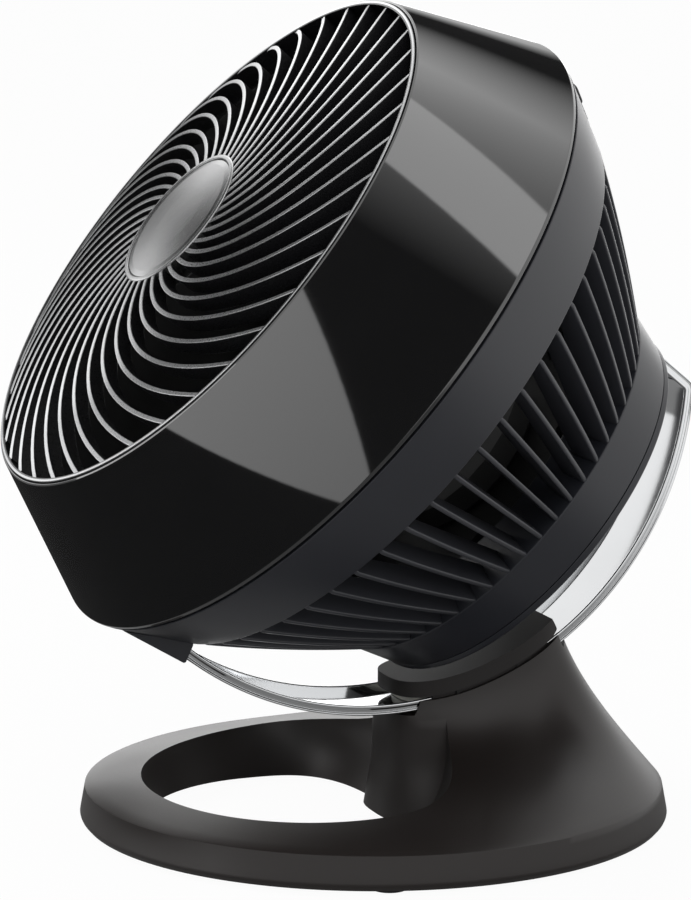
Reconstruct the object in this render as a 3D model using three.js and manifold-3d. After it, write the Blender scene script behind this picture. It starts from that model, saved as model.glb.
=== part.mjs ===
// Air circulator fan: a drum-shaped head that slides through a saddle on a curved glide,
// above a round base with a hole through its front half. Millimetres, +Z up, front to -Y.
import * as THREE from 'three';
import { mergeVertices } from 'three/addons/utils/BufferGeometryUtils.js';
import Module from 'manifold-3d';

const wasm = await Module();
wasm.setup();

// ---------------------------------------------------------------- driving dimensions

const GAP = 0.35;                  // clearance between pieces that touch
const WALL = 3;                    // moulded wall

// head, measured from the joint line of its two shells: s runs forward, r outward
const HEAD_R = 175;                // widest radius, at the joint line
const OPENING_R = 143.6;           // outside of the silver ring round the outlet
const SHROUD_L = 70;               // joint line to the front of the shroud
const BAND_L = 36;                 // length of the plain band behind the joint line
const BAND_REAR_R = 158;           // its radius where the inlet fins start
const COLLAR_S = 112;              // joint line to the front edge of the collar
const COLLAR_FRONT_R = 108.3;
const COLLAR_L = 24;
const COLLAR_REAR_R = 101.5;
const REST_TILT = 40;              // head's axis above the horizon, degrees

// inlet fins
const FIN_COUNT = 60;
const FIN_PHASE = 4.4;             // angle of the first fin from straight up, clockwise
const FIN_T = 2.5;
const FIN_DEPTH = 15;
const FIN_SWELL = 1.6;             // how far the fins bow out of the straight cone

// outlet grille
const VANE_COUNT = 40;
const VANE_T = 2.3;
const VANE_DEPTH = 9;
const VANE_SWEEP = 54;             // degrees that a vane turns from rim to hub
const VANE_PHASE = 2.9;            // angle of the first vane at the rim, from straight up
const RIM_T = 3.6;                 // radial width of the silver ring
const HUB_R = 37.4;                // grille hub
const DOME_H = 15.8;               // hub's front edge ahead of the ring

// glide and saddle
const PIVOT_S = -37;               // tilt centre, on the head's axis
const PIVOT_Y = -2;                // tilt centre, from the middle of the base
const PIVOT_Z = 219.5;
const GLIDE_R = 163;               // outside radius of the glide, from the tilt centre
const GLIDE_W = 46;
const GLIDE_T = 1.8;
const FLANGE_H = 5.2;              // height of the glide's two edges
const TAB_U = 97;                  // height of the glide's rear leg above the head's axis
const TAB_FOOT = 13;               // length of the foot that is screwed to the rear cover
const CHEEK_T = 5.6;               // saddle wall at each side of the glide
const SADDLE_FRONT = 6;            // y of the saddle's nose
const SADDLE_REAR = 93;            // y of its heel
const CAP_T = 7.6;                 // saddle cap
const SHADOW_H = 1.6;              // dark line below the cap
const SHADOW_D = 2;
const PAD_T = 1.3;                 // felt under the glide

// base
const BASE_R = 144;
const EDGE_H = 16.6;               // top of the bevelled edge
const BEVEL = 2.4;                 // the bevel's run
// the hole's outline: half width, y where it is widest, reach ahead of that, reach behind, squareness
const HOLE_LOW = [84, -38, 73.8, 46, 3.4];          // at the floor
const HOLE_HIGH = [98, -27, 88, 56, 2];             // above the disc
const HOLE_LEAN = 40;              // height over which its wall leans out
const NOSE_GROW = 14;              // how much wider the nose is at the floor than at the saddle
const NOSE_REACH = 7.5;            // how much further forward it is there
const HOLE_BACK_Y = 29;            // rearmost point of the hole
const PLATE_T = 2;
const FOOT_R = 9;
const FOOT_H = 2.2;                // the feet stand this far below the base
const BALLAST_T = 8;

// fan and motor
const DUCT_R = 116;                // bore of the inner duct at the propeller
const BLADE_GAP = 3.2;             // tip clearance
const BLADES = 3;
const SPINNER_R = 36;
const MOTOR_R = 43;
const MOTOR_L = 48;
const SHAFT_R = 4;
const MOUNT_S = -108;              // front face of the motor mount

// controls
const PANEL_S = -18;               // middle of the panel, along the head
const PANEL_HALF_ANGLE = 17;       // degrees to each side of the top
const PANEL_HALF_L = 10;
const BUTTON_COUNT = 5;
const BUTTON_STEP = 6;             // degrees from button to button
const BUTTON_W = 13;
const BUTTON_L = 10;
const BUTTON_TRAVEL = 2;

// facets
const AROUND = 40;                  // round the base
const ROUND = 40;                  // round the head
const SMALL = 10;                  // screws and other small round parts

const TAU = Math.PI * 2;
const rad = THREE.MathUtils.degToRad;
const lerp = THREE.MathUtils.lerp;

// ---------------------------------------------------------------- solids

// one closed solid from any closed geometry
function solid(geometry) {
  const bare = new THREE.BufferGeometry();
  bare.setAttribute('position', geometry.attributes.position);
  bare.setIndex(geometry.index);
  const merged = mergeVertices(bare, 1e-4);
  const faces = [];
  for (let i = 0; i < merged.index.count; i += 3) {
    const [a, b, c] = [0, 1, 2].map((k) => merged.index.getX(i + k));
    if (a !== b && b !== c && c !== a) faces.push(a, b, c);
  }
  return new wasm.Manifold(new wasm.Mesh({
    numProp: 3,
    vertProperties: new Float32Array(merged.attributes.position.array),
    triVerts: new Uint32Array(faces),
  }));
}

function geometryOf(body) {
  const mesh = body.getMesh();
  const geometry = new THREE.BufferGeometry();
  geometry.setAttribute('position', new THREE.BufferAttribute(mesh.vertProperties, 3));
  geometry.setIndex(new THREE.BufferAttribute(mesh.triVerts, 1));
  const loose = geometry.toNonIndexed();
  loose.computeVertexNormals();
  return loose;
}

const join = (bodies) => bodies.reduce((whole, body) => whole.add(body));
const cut = (body, tools) => tools.reduce((rest, tool) => rest.subtract(tool), body);

// round solid about the local z axis, from [r, z] points listed anticlockwise in that plane
function revolve(profile, segments = ROUND) {
  const points = profile.map(([r, z]) => new THREE.Vector2(r, z));
  const onAxis = profile[0][0] === 0 && profile[profile.length - 1][0] === 0;
  if (!onAxis) points.push(points[0].clone());
  return solid(new THREE.LatheGeometry(points, segments).rotateX(Math.PI / 2));
}

// cylinder along z from z0 to z1
function rod(r, z0, z1, segments = SMALL, rTop = r) {
  const geometry = new THREE.CylinderGeometry(rTop, r, z1 - z0, segments);
  return solid(geometry.rotateX(Math.PI / 2).translate(0, 0, (z0 + z1) / 2));
}

// prism along z over a closed outline of [x, y] points
function prism(outline, z0, z1) {
  const shape = new THREE.Shape(outline.map(([x, y]) => new THREE.Vector2(x, y)));
  const geometry = new THREE.ExtrudeGeometry(shape, { depth: z1 - z0, bevelEnabled: false });
  return solid(geometry.translate(0, 0, z0));
}

// skin over rings of equal point count, closed at both ends by fans about their middles
function loft(rings, firstMiddle, lastMiddle) {
  const count = rings[0].length;
  const points = [...rings.flat(), firstMiddle, lastMiddle];
  const faces = [];
  for (let i = 0; i < count; i++) {
    const j = (i + 1) % count;
    for (let k = 0; k + 1 < rings.length; k++) {
      const [low, high] = [k * count, (k + 1) * count];
      faces.push(low + i, low + j, high + j, low + i, high + j, high + i);
    }
    const top = (rings.length - 1) * count;
    faces.push(points.length - 2, j, i, points.length - 1, top + i, top + j);
  }
  const geometry = new THREE.BufferGeometry();
  geometry.setAttribute('position', new THREE.Float32BufferAttribute(points.flat(), 3));
  geometry.setIndex(faces);
  return solid(geometry);
}

const placed = (body, matrix) => solid(geometryOf(body).applyMatrix4(matrix));
const turned = (body, angle) => placed(body, new THREE.Matrix4().makeRotationZ(angle));

// ---------------------------------------------------------------- materials and nodes

const finishes = {
  gloss_black: [0x0c0c0e, 0.06, 0],
  satin_charcoal: [0x2b2c30, 0.38, 0],
  satin_black: [0x1c1b1c, 0.42, 0],
  silver_black: [0x8d9095, 0.3, 0.6],
  badge_silver: [0xc9cacc, 0.28, 0.9],
  chrome: [0xd8dadd, 0.08, 1],
  rubber: [0x101010, 0.85, 0],
  felt: [0x2a2622, 0.95, 0],
  nylon: [0xe4e1d8, 0.5, 0],
  steel: [0xa5a8ab, 0.35, 0.9],
  copper: [0xb0632f, 0.35, 0.9],
  fan_grey: [0x35373b, 0.45, 0],
  board_green: [0x1f4a2f, 0.6, 0],
  button_black: [0x17181a, 0.5, 0],
};

function add(group, name, finish, body) {
  const [color, roughness, metalness] = finishes[finish];
  const material = new THREE.MeshStandardMaterial({ color, roughness, metalness });
  const mesh = new THREE.Mesh(geometryOf(body), material);
  mesh.name = name;
  group.add(mesh);
  return mesh;
}

const model = new THREE.Group();
const base = new THREE.Group();
const head = new THREE.Group();
model.add(base, head);

// the head's own frame: x to its left, y up its face, z forward along its axis
const tilt = rad(REST_TILT);
head.rotation.x = Math.PI / 2 - tilt;
head.position.set(0, PIVOT_Y + PIVOT_S * Math.cos(tilt), PIVOT_Z - PIVOT_S * Math.sin(tilt));

// ---------------------------------------------------------------- base

const SADDLE_HALF_W = GLIDE_W / 2 + CHEEK_T;
const SADDLE_MID = (SADDLE_FRONT + SADDLE_REAR) / 2;
const SADDLE_HALF_L = (SADDLE_REAR - SADDLE_FRONT) / 2;
const SEAT_R = GLIDE_R - FLANGE_H + GAP + 0.2;      // top of the saddle's cheeks
const CHANNEL_R = GLIDE_R + GAP * 2 + PAD_T;        // floor of the saddle's channel
const CAP_LOW_R = SEAT_R - GAP;
const CAP_HIGH_R = CAP_LOW_R - SHADOW_H - CAP_T;

// saddle outline in plan, as one point per angle, on a rounded rectangle
function saddlePoint(angle, inset = 0, grow = 0, reach = 0) {
  const [c, s] = [Math.cos(angle), Math.sin(angle)];
  const power = 2 / 3;
  const halfL = SADDLE_HALF_L - inset + reach;
  const x = (SADDLE_HALF_W - inset + grow) * Math.sign(c) * Math.abs(c) ** power;
  return [x, SADDLE_MID + halfL * Math.sign(s) * Math.abs(s) ** power];
}

const around = (count, point) => Array.from({ length: count }, (_, i) => point((i / count) * TAU));

// height of a surface at radius r from the tilt centre
const arcZ = (y, r) => PIVOT_Z - Math.sqrt(r * r - (y - PIVOT_Y) ** 2);

const CLEAR_TOP = 4;               // the flank is first built this far above the cheeks

// the disc's edge, its gentle top and the concave flank that rises to the saddle
function flank(inset) {
  const floor = inset ? -1 : 0;
  const ridgeR = BASE_R - BEVEL - inset;
  const ridgeZ = EDGE_H - inset;
  const steps = inset ? [0, 0.35, 0.7, 1] : [0, 0.2, 0.4, 0.6, 0.8, 1];
  const rings = [
    around(AROUND, (a) => [(BASE_R - 2 - inset) * Math.cos(a), (BASE_R - 2 - inset) * Math.sin(a), floor]),
    around(AROUND, (a) => [(BASE_R - inset) * Math.cos(a), (BASE_R - inset) * Math.sin(a), 3.2]),
  ];
  for (const t of steps) {
    rings.push(around(AROUND, (a) => {
      const start = [ridgeR * Math.cos(a), ridgeR * Math.sin(a)];
      const end = saddlePoint(a, inset);
      const run = Math.hypot(end[0] - start[0], end[1] - start[1]);
      const rear = Math.max(0, Math.sin(a)) ** 3;
      const topZ = arcZ(end[1], SEAT_R - CLEAR_TOP) - inset;
      const rise = topZ - ridgeZ;
      const nearIn = (0.6 - 0.2 * rear) * run;
      const slope = 0.2 + 0.1 * (1 + Math.sin(a)) ** 2 + 0.63 * rear;
      const nearZ = Math.min(ridgeZ + nearIn * slope, ridgeZ + 0.6 * rise);
      const farOut = (0.01 + 0.19 * rear) * run;
      const farZ = ridgeZ + (0.08 + 0.54 * rear) * rise;
      const weights = [(1 - t) ** 3, 3 * t * (1 - t) ** 2, 3 * t * t * (1 - t), t ** 3];
      const along = [0, nearIn / run, 1 - farOut / run, 1];
      const heights = [ridgeZ, nearZ, farZ, topZ];
      const f = weights.reduce((sum, w, k) => sum + w * along[k], 0);
      const z = weights.reduce((sum, w, k) => sum + w * heights[k], 0);
      return [lerp(start[0], end[0], f), lerp(start[1], end[1], f), z];
    }));
  }
  const peak = arcZ(SADDLE_MID, SEAT_R - CLEAR_TOP) - inset;
  return loft(rings, [0, 0, floor], [0, SADDLE_MID, peak]);
}

// the hole through the front half: round ahead, squarer behind, with a wall that leans out
function holePoint(angle, z, grow) {
  const lean = 1 - (1 - THREE.MathUtils.clamp(z / HOLE_LEAN, 0, 1)) ** 2;
  const [wide, middle, ahead, behind, square] = HOLE_LOW.map((low, k) => lerp(low, HOLE_HIGH[k], lean));
  const [c, s] = [Math.cos(angle), Math.sin(angle)];
  const power = s > 0 ? 2 / square : 1;
  const reach = (s > 0 ? behind : ahead) + grow;
  const x = (wide + grow) * Math.sign(c) * Math.abs(c) ** power;
  return [x, middle + reach * Math.sign(s) * Math.abs(s) ** power, z];
}

// the pedestal's nose stands into the hole from behind
function hole(grow) {
  const highZ = arcZ(SADDLE_FRONT, SEAT_R);
  const levels = [-12, 0, 12, 26, HOLE_LEAN, highZ + 60];
  const drum = loft(levels.map((z) => around(AROUND, (a) => holePoint(a, z, grow))),
    [0, -30, -12], [0, -30, highZ + 60]);
  const nose = loft([
    around(AROUND, (a) => [...saddlePoint(a, grow, NOSE_GROW, NOSE_REACH), -12]),
    around(AROUND, (a) => [...saddlePoint(a, grow, NOSE_GROW * 0.32, NOSE_REACH * 0.32), highZ * 0.45]),
    around(AROUND, (a) => [...saddlePoint(a, grow), highZ + 70]),
  ], [0, SADDLE_MID, -12], [0, SADDLE_MID, highZ + 70]);
  return cut(drum, [nose]);
}

// drum about the tilt axis, for everything that follows the glide
function tiltDrum(r, width, segments = 96) {
  const geometry = new THREE.CylinderGeometry(r, r, width, segments).rotateZ(Math.PI / 2);
  return solid(geometry.translate(0, PIVOT_Y, PIVOT_Z));
}

const BIG = 2 * HEAD_R;
const ROOF_R = CHANNEL_R + WALL;
const shellHollow = cut(flank(WALL), [hole(WALL), tiltDrum(ROOF_R, BIG)]);
const SHELL_UP = FOOT_H;
const screwSpots = [-1, 1].flatMap((side) => [0.32, 0.68].map((f) => (
  [side * (SADDLE_HALF_W - 2.9), lerp(SADDLE_FRONT, SADDLE_REAR, f)])));
const capScrewHoles = (r) => screwSpots.map(([x, y]) => rod(r, 20, 140, 6).translate(x, y, 0));

const flankTrim = [hole(0), shellHollow];
const shellBody = cut(flank(0), flankTrim).translate(0, 0, SHELL_UP);
const saddleCuts = [
  tiltDrum(SEAT_R, BIG),
  tiltDrum(CHANNEL_R, GLIDE_W + 4 * GAP),
  ...capScrewHoles(1.8),
];
add(base, 'base_shell', 'satin_black', cut(shellBody, saddleCuts));

// plate that closes the underside
function underside(inset, z0, z1) {
  const disc = rod(BASE_R - inset, z0, z1, AROUND);
  return disc.subtract(hole(inset + GAP));
}
const PLATE_INSET = WALL + 1.4 + GAP;
const footSpots = Array.from({ length: 5 }, (_, i) => {
  const a = rad(-90 + 72 * i);
  const r = BASE_R - PLATE_INSET - FOOT_R - 0.8;
  return [r * Math.cos(a), r * Math.sin(a)];
});
const PLATE_LOW = FOOT_H + 0.3;
const plate = underside(PLATE_INSET, PLATE_LOW, PLATE_LOW + PLATE_T);
const footPins = footSpots.map(([x, y]) => rod(2.6, 0, 12, 6).translate(x, y, 0));
add(base, 'base_plate', 'satin_black', cut(plate, footPins));

footSpots.forEach(([x, y], i) => {
  const foot = rod(FOOT_R - 0.6, 0, PLATE_LOW - GAP, 14, FOOT_R);
  const pin = rod(2.2, PLATE_LOW - 1, PLATE_LOW + PLATE_T + 1.4, 6);
  add(base, `rubber_foot_${i + 1}`, 'rubber', foot.add(pin)).position.set(x, y, 0);
});

// steel weight behind the hole, on the plate
const BALLAST_Z = PLATE_LOW + PLATE_T + GAP;
const ballastArc = around(40, (a) => [
  (BASE_R - 26) * Math.cos(a), Math.max(HOLE_BACK_Y + 15, (BASE_R - 26) * Math.sin(a))]);
const ballastOutline = ballastArc.filter(([, y], i) => y > HOLE_BACK_Y + 15
  || ballastArc[(i + 1) % 40][1] > HOLE_BACK_Y + 15 || ballastArc[(i + 39) % 40][1] > HOLE_BACK_Y + 15);
const ballastHoles = footSpots.map(([x, y]) => rod(6, 0, 30, 8).translate(x, y, 0));
const ballast = cut(prism(ballastOutline, BALLAST_Z, BALLAST_Z + BALLAST_T), ballastHoles);
add(base, 'ballast_weight', 'steel', ballast);

// saddle cap, split from the pedestal by a dark line, and its four screws
const outline = (inset) => around(AROUND, (a) => saddlePoint(a, inset));
function arcSlab(inset, rHigh, rLow, width) {
  const block = prism(outline(inset), 0, PIVOT_Z);
  return block.intersect(tiltDrum(rLow, width)).subtract(tiltDrum(rHigh, width + 2));
}
const capTop = arcSlab(0, CAP_HIGH_R, CAP_HIGH_R + CAP_T, BIG);
const capSkirt = arcSlab(SHADOW_D, CAP_HIGH_R + CAP_T - 0.5, CAP_LOW_R, BIG);
const capRoom = tiltDrum(CAP_LOW_R + 5, GLIDE_W + 4 * GAP)
  .subtract(tiltDrum(GLIDE_R - FLANGE_H - GAP * 1.5, GLIDE_W + 8 * GAP));
const CAP_BITE = 5.5;              // how far the screws reach into the cap
const capScrewTop = ([, y]) => arcZ(y, CAP_LOW_R) + CAP_BITE;
const capBores = screwSpots.map((spot) => (
  rod(1.8, 20, capScrewTop(spot) + 0.4, 6).translate(spot[0], spot[1], 0)));
add(base, 'saddle_cap', 'satin_black', cut(join([capTop, capSkirt]), [capRoom, ...capBores]));

// radial play of the glide between shoe and pad is one gap on each side
const shoe = arcSlab(6, CAP_LOW_R - 0.6, GLIDE_R - GLIDE_T - GAP, GLIDE_W - 2 * GLIDE_T - 2)
  .subtract(tiltDrum(GLIDE_R - FLANGE_H - GAP * 1.5 + GAP, BIG));
add(base, 'glide_shoe', 'nylon', shoe);
const pad = arcSlab(3, GLIDE_R + GAP, GLIDE_R + GAP + PAD_T, GLIDE_W - 4);
add(base, 'glide_pad', 'felt', pad);

screwSpots.forEach((spot, i) => {
  const roof = arcZ(spot[1] - 3, ROOF_R) + SHELL_UP - 1.2;
  const headZ = roof - GAP * 2;
  const screw = rod(1.45, headZ - 1, capScrewTop(spot), 6).add(rod(3, headZ - 2.4, headZ, 10));
  add(base, `cap_screw_${i + 1}`, 'steel', screw).position.set(spot[0], spot[1], 0);
});

// ---------------------------------------------------------------- head shells

const OPEN_IN = OPENING_R + 1.5;
const shroudSlope = (HEAD_R - OPEN_IN) / SHROUD_L;
const shroudR = (s) => OPEN_IN + shroudSlope * (SHROUD_L - s);
const LIP = 3.4;
add(head, 'front_shroud', 'gloss_black', revolve([
  [HEAD_R - LIP, 1.2], [HEAD_R, 1.2], [HEAD_R, 2.4], [HEAD_R - 1, 6],
  [shroudR(12) - 0.4, 12], [OPEN_IN + 0.3, SHROUD_L - 0.8], [OPEN_IN - 0.4, SHROUD_L],
  [OPEN_IN - WALL, SHROUD_L], [shroudR(12) - WALL - 0.4, 12], [HEAD_R - LIP, 5],
]));

// outer surface of the band, and of the fins behind it
const bandSlope = (HEAD_R - 0.8 - BAND_REAR_R) / (BAND_L - 0.6);
const bandR = (s) => HEAD_R - 0.8 - bandSlope * (-0.6 - s);
function finR(s) {
  const f = (-s - BAND_L) / (COLLAR_S - BAND_L);
  const swell = f > 0 && f < 1 ? FIN_SWELL * 4 * f * (1 - f) : 0;
  return lerp(BAND_REAR_R, COLLAR_FRONT_R, f) + swell;
}

const band = revolve([
  [HEAD_R - LIP - GAP - WALL, 3.6], [BAND_REAR_R - WALL - 0.4, -BAND_L],
  [BAND_REAR_R, -BAND_L], [bandR(-0.6), -0.6], [HEAD_R - LIP - GAP, -0.6],
  [HEAD_R - LIP - GAP, 3.6],
]);
const COLLAR_BORE = COLLAR_REAR_R - WALL - 0.2;
const CONE_IN = COLLAR_FRONT_R - 21.8;              // inner edge of the collar's sloping front
const CONE_RISE = 0.6;                              // its slope
const FIN_END_R = CONE_IN + 9;
const collarEnd = -COLLAR_S - COLLAR_L;
const collar = revolve([
  [COLLAR_BORE, collarEnd], [COLLAR_REAR_R, collarEnd], [COLLAR_FRONT_R, -COLLAR_S],
  [CONE_IN, -COLLAR_S + CONE_RISE * (COLLAR_FRONT_R - CONE_IN)], [CONE_IN, -COLLAR_S + 8.5],
  [COLLAR_BORE, -COLLAR_S],
]);

const ROOT = 1.2;                                   // depth that a fin is let into its ends
const finOutline = [
  [BAND_REAR_R - 0.7, -BAND_L + ROOT], [finR(-74), -74],
  [COLLAR_FRONT_R - 0.9, -COLLAR_S - 0.6],
  [FIN_END_R, -COLLAR_S + CONE_RISE * (COLLAR_FRONT_R - FIN_END_R) - ROOT],
  [BAND_REAR_R - FIN_DEPTH, -BAND_L - 4], [BAND_REAR_R - WALL + 0.4, -BAND_L + ROOT],
];
const finPlate = placed(prism(finOutline, -FIN_T / 2, FIN_T / 2),
  new THREE.Matrix4().makeRotationX(Math.PI / 2));
const fins = Array.from({ length: FIN_COUNT }, (_, i) => (
  turned(finPlate, (i / FIN_COUNT) * TAU - rad(FIN_PHASE))));

// two wedge lugs under the band hold the front end of the glide
const LUG_IN = GLIDE_W / 2 - 3;
const LUG_OUT = GLIDE_W / 2 + 3.8;
const lugTip = GLIDE_R + 2.2;
const lugOutline = [
  [bandR(-5) - 1.5, -5], [lugTip, PIVOT_S - 2.5], [GLIDE_R - FLANGE_H - 2.6, PIVOT_S + 0.2],
  [BAND_REAR_R - 2.5, PIVOT_S + 2],
];
const lugTurn = new THREE.Matrix4().makeBasis(
  new THREE.Vector3(0, -1, 0), new THREE.Vector3(0, 0, 1), new THREE.Vector3(-1, 0, 0));
const lugs = [[LUG_IN, LUG_OUT], [-LUG_OUT, -LUG_IN]].map(([near, far]) => (
  placed(prism(lugOutline, near, far), lugTurn)));

// ---------------------------------------------------------------- glide

const FRONT_END = -90.8;           // degrees round the tilt centre from the head's rear axis
const TONGUE = 2.6;                // the edges run this much further, into the lugs
const CORNER_R = 7;

// side outline of the glide at a depth below its outer face, from its front end to its foot
function glideLine(depth, tongue) {
  const points = [];
  const r = GLIDE_R - depth;
  const legU = TAB_U - depth;
  const cr = CORNER_R - Math.min(depth, CORNER_R - 0.8);
  const cornerU = legU - cr;
  const cornerS = PIVOT_S - Math.sqrt((r - cr) ** 2 - cornerU ** 2);
  const endAngle = Math.atan2(cornerU, PIVOT_S - cornerS);
  const startAngle = rad(FRONT_END - tongue);
  const count = Math.round((endAngle - startAngle) / rad(7));
  for (let i = 0; i <= count; i++) {
    const a = lerp(startAngle, endAngle, i / count);
    points.push([r * Math.sin(a), PIVOT_S - r * Math.cos(a)]);
  }
  for (let i = 1; i <= 4; i++) {
    const a = lerp(endAngle, Math.PI / 2, i / 4);
    points.push([cornerU + cr * Math.sin(a), cornerS - cr * Math.cos(a)]);
  }
  return points;
}
const footBack = collarEnd - 4 - GAP;               // rear cover's rim, where the foot sits
function glideStrip(depth0, depth1, width, tongue) {
  const outer = glideLine(depth0, tongue);
  const inner = glideLine(depth1, tongue);
  const footEnd = TAB_U - TAB_FOOT;
  const foot = depth1 > GLIDE_T + 0.01
    ? [[TAB_U - depth0, footBack], [TAB_U - depth1, footBack]]
    : [[TAB_U - depth0, footBack], [footEnd, footBack], [footEnd, footBack - GLIDE_T],
      [TAB_U - depth1, footBack - GLIDE_T]];
  const side = [...outer, ...foot, ...inner.reverse()];
  const strip = prism(side.map(([u, s]) => [u, s]), -width / 2, width / 2);
  return placed(strip, new THREE.Matrix4().makeBasis(
    new THREE.Vector3(0, 1, 0), new THREE.Vector3(0, 0, 1), new THREE.Vector3(1, 0, 0)));
}
const strap = glideStrip(0, GLIDE_T, GLIDE_W, 0);
const flangeBlock = glideStrip(0.4, FLANGE_H, GLIDE_W, TONGUE);
const flangeGap = glideStrip(0.2, FLANGE_H + 3, GLIDE_W - 2 * GLIDE_T, TONGUE + 1);
const flanges = flangeBlock.subtract(flangeGap);
const FOOT_SCREW_U = TAB_U - TAB_FOOT + 5;
const footScrews = [-12, 12];
const glideHoles = footScrews.map((x) => rod(1.9, footBack - 5, footBack + 3, 10)
  .translate(x, FOOT_SCREW_U, 0));
const glide = cut(join([strap, flanges]), glideHoles);
add(head, 'glide_band', 'chrome', glide);

const tongueRoom = glideStrip(-GAP, FLANGE_H + GAP, GLIDE_W + 2 * GAP, TONGUE + 0.2);

// ---------------------------------------------------------------- control panel

const panelTangent = new THREE.Vector2(-bandSlope, -1).normalize();
const panelNormal = new THREE.Vector2(-panelTangent.y, panelTangent.x);
// point of the panel's section: a along the band to the rear, b out of its surface
const panelPoint = (a, b) => [
  bandR(PANEL_S) + a * panelTangent.x + b * panelNormal.x,
  PANEL_S + a * panelTangent.y + b * panelNormal.y];
const sector = (section, halfAngle) => {
  const far = 2 * HEAD_R;
  const edge = far * Math.tan(rad(halfAngle));
  const wedge = prism([[0, 0], [edge, far], [-edge, far]], -HEAD_R, HEAD_R);
  return revolve(section.map(([a, b]) => panelPoint(a, b)), ROUND).intersect(wedge);
};
const ring = (a0, a1, b0, b1) => [[a0, b0], [a1, b0], [a1, b1], [a0, b1]];
const PANEL_PROUD = 0.8;
const PANEL_LEG = 11;
const LEG_T = 2;
const panelWindow = sector(ring(-PANEL_HALF_L - GAP, PANEL_HALF_L + GAP, -9, 12),
  PANEL_HALF_ANGLE + 0.15);
const housing = cut(join([band, collar, ...fins, ...lugs]), [panelWindow, tongueRoom]);
add(head, 'rear_housing', 'satin_charcoal', housing);

// frame on the band at the angle of one button: x across, y toward the rear, z outward
function panelFrame(angle) {
  const across = new THREE.Vector3(Math.cos(angle), -Math.sin(angle), 0);
  const up = new THREE.Vector3(Math.sin(angle), Math.cos(angle), 0);
  const back = up.clone().multiplyScalar(panelTangent.x).setZ(panelTangent.y);
  const out = up.clone().multiplyScalar(panelNormal.x).setZ(panelNormal.y);
  const origin = up.clone().multiplyScalar(bandR(PANEL_S)).setZ(PANEL_S);
  return new THREE.Matrix4().makeBasis(across, back, out).setPosition(origin);
}
function roundedBox(w, l, r) {
  const [x, y] = [w / 2 - r, l / 2 - r];
  const corners = [[x, y, 0], [-x, y, 90], [-x, -y, 180], [x, -y, 270]];
  return corners.flatMap(([cx, cy, a]) => [0, 90].map((d) => (
    [cx + r * Math.cos(rad(a + d)), cy + r * Math.sin(rad(a + d))])));
}
const buttonAngles = Array.from({ length: BUTTON_COUNT }, (_, i) => (
  rad((i - (BUTTON_COUNT - 1) / 2) * BUTTON_STEP)));
const buttonWells = buttonAngles.map((angle) => (
  placed(prism(roundedBox(BUTTON_W + 2 * GAP, BUTTON_L + 2 * GAP, 2.3), -12, 6), panelFrame(angle))));
const panelSkin = sector(ring(-PANEL_HALF_L, PANEL_HALF_L, -2.4, PANEL_PROUD), PANEL_HALF_ANGLE);
const panelLegs = [-1, 1].map((side) => {
  const [a0, a1] = side < 0 ? [-PANEL_HALF_L, -PANEL_HALF_L + LEG_T] : [PANEL_HALF_L - LEG_T, PANEL_HALF_L];
  return sector(ring(a0, a1, -PANEL_LEG, -2), PANEL_HALF_ANGLE - 1);
});
add(head, 'control_panel', 'button_black', cut(join([panelSkin, ...panelLegs]), buttonWells));
const BUTTON_LOW = -6.6;
add(head, 'switch_board', 'board_green', sector(
  ring(-PANEL_HALF_L + LEG_T + GAP, PANEL_HALF_L - LEG_T - GAP, -PANEL_LEG + 0.4,
    BUTTON_LOW - BUTTON_TRAVEL - 0.3), PANEL_HALF_ANGLE - 2));
const buttonNames = ['button_off', 'button_1', 'button_2', 'button_3', 'button_4'];
buttonAngles.forEach((angle, i) => {
  const stem = prism(roundedBox(BUTTON_W, BUTTON_L, 2), BUTTON_LOW, 1.9);
  const top = prism(roundedBox(BUTTON_W - 1.2, BUTTON_L - 1.2, 1.5), 1.5, 2.6);
  add(head, buttonNames[i], 'button_black', placed(stem.add(top), panelFrame(angle)));
});

// ---------------------------------------------------------------- outlet grille

const ringIn = OPENING_R - RIM_T;
const RIM_FRONT = SHROUD_L + 4.2;
const rimSkirtR = OPEN_IN - WALL - GAP - 0.2;
const gated = (r) => THREE.MathUtils.clamp((r - HUB_R) / (ringIn - HUB_R), 0, 1);
const domeS = (r) => RIM_FRONT - 0.6 + DOME_H * (1 - gated(r) ** 2.6);
const vaneAngle = (r) => rad(90 - VANE_PHASE - (VANE_SWEEP * (ringIn - r)) / (ringIn - HUB_R));
const vaneStations = 5;
const vaneRings = Array.from({ length: vaneStations }, (_, i) => {
  const r = lerp(HUB_R - 1.2, ringIn + 0.4, i / (vaneStations - 1));
  const a = vaneAngle(r);
  const ahead = vaneAngle(r + 0.5);
  const dir = new THREE.Vector2(
    (r + 0.5) * Math.cos(ahead) - r * Math.cos(a), (r + 0.5) * Math.sin(ahead) - r * Math.sin(a));
  const side = new THREE.Vector2(-dir.y, dir.x).setLength(VANE_T / 2);
  const [x, y] = [r * Math.cos(a), r * Math.sin(a)];
  const front = domeS(r) - (r > ringIn ? 0.3 : 0);
  return [
    [x - side.x, y - side.y, front - VANE_DEPTH], [x + side.x, y + side.y, front - VANE_DEPTH],
    [x + side.x, y + side.y, front], [x - side.x, y - side.y, front]];
});
const centroid = (points) => [0, 1, 2].map((k) => points.reduce((sum, p) => sum + p[k], 0) / points.length);
const vane = loft(vaneRings, centroid(vaneRings[0]), centroid(vaneRings[vaneStations - 1]));
const vanes = Array.from({ length: VANE_COUNT }, (_, i) => turned(vane, (i / VANE_COUNT) * TAU));
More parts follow.
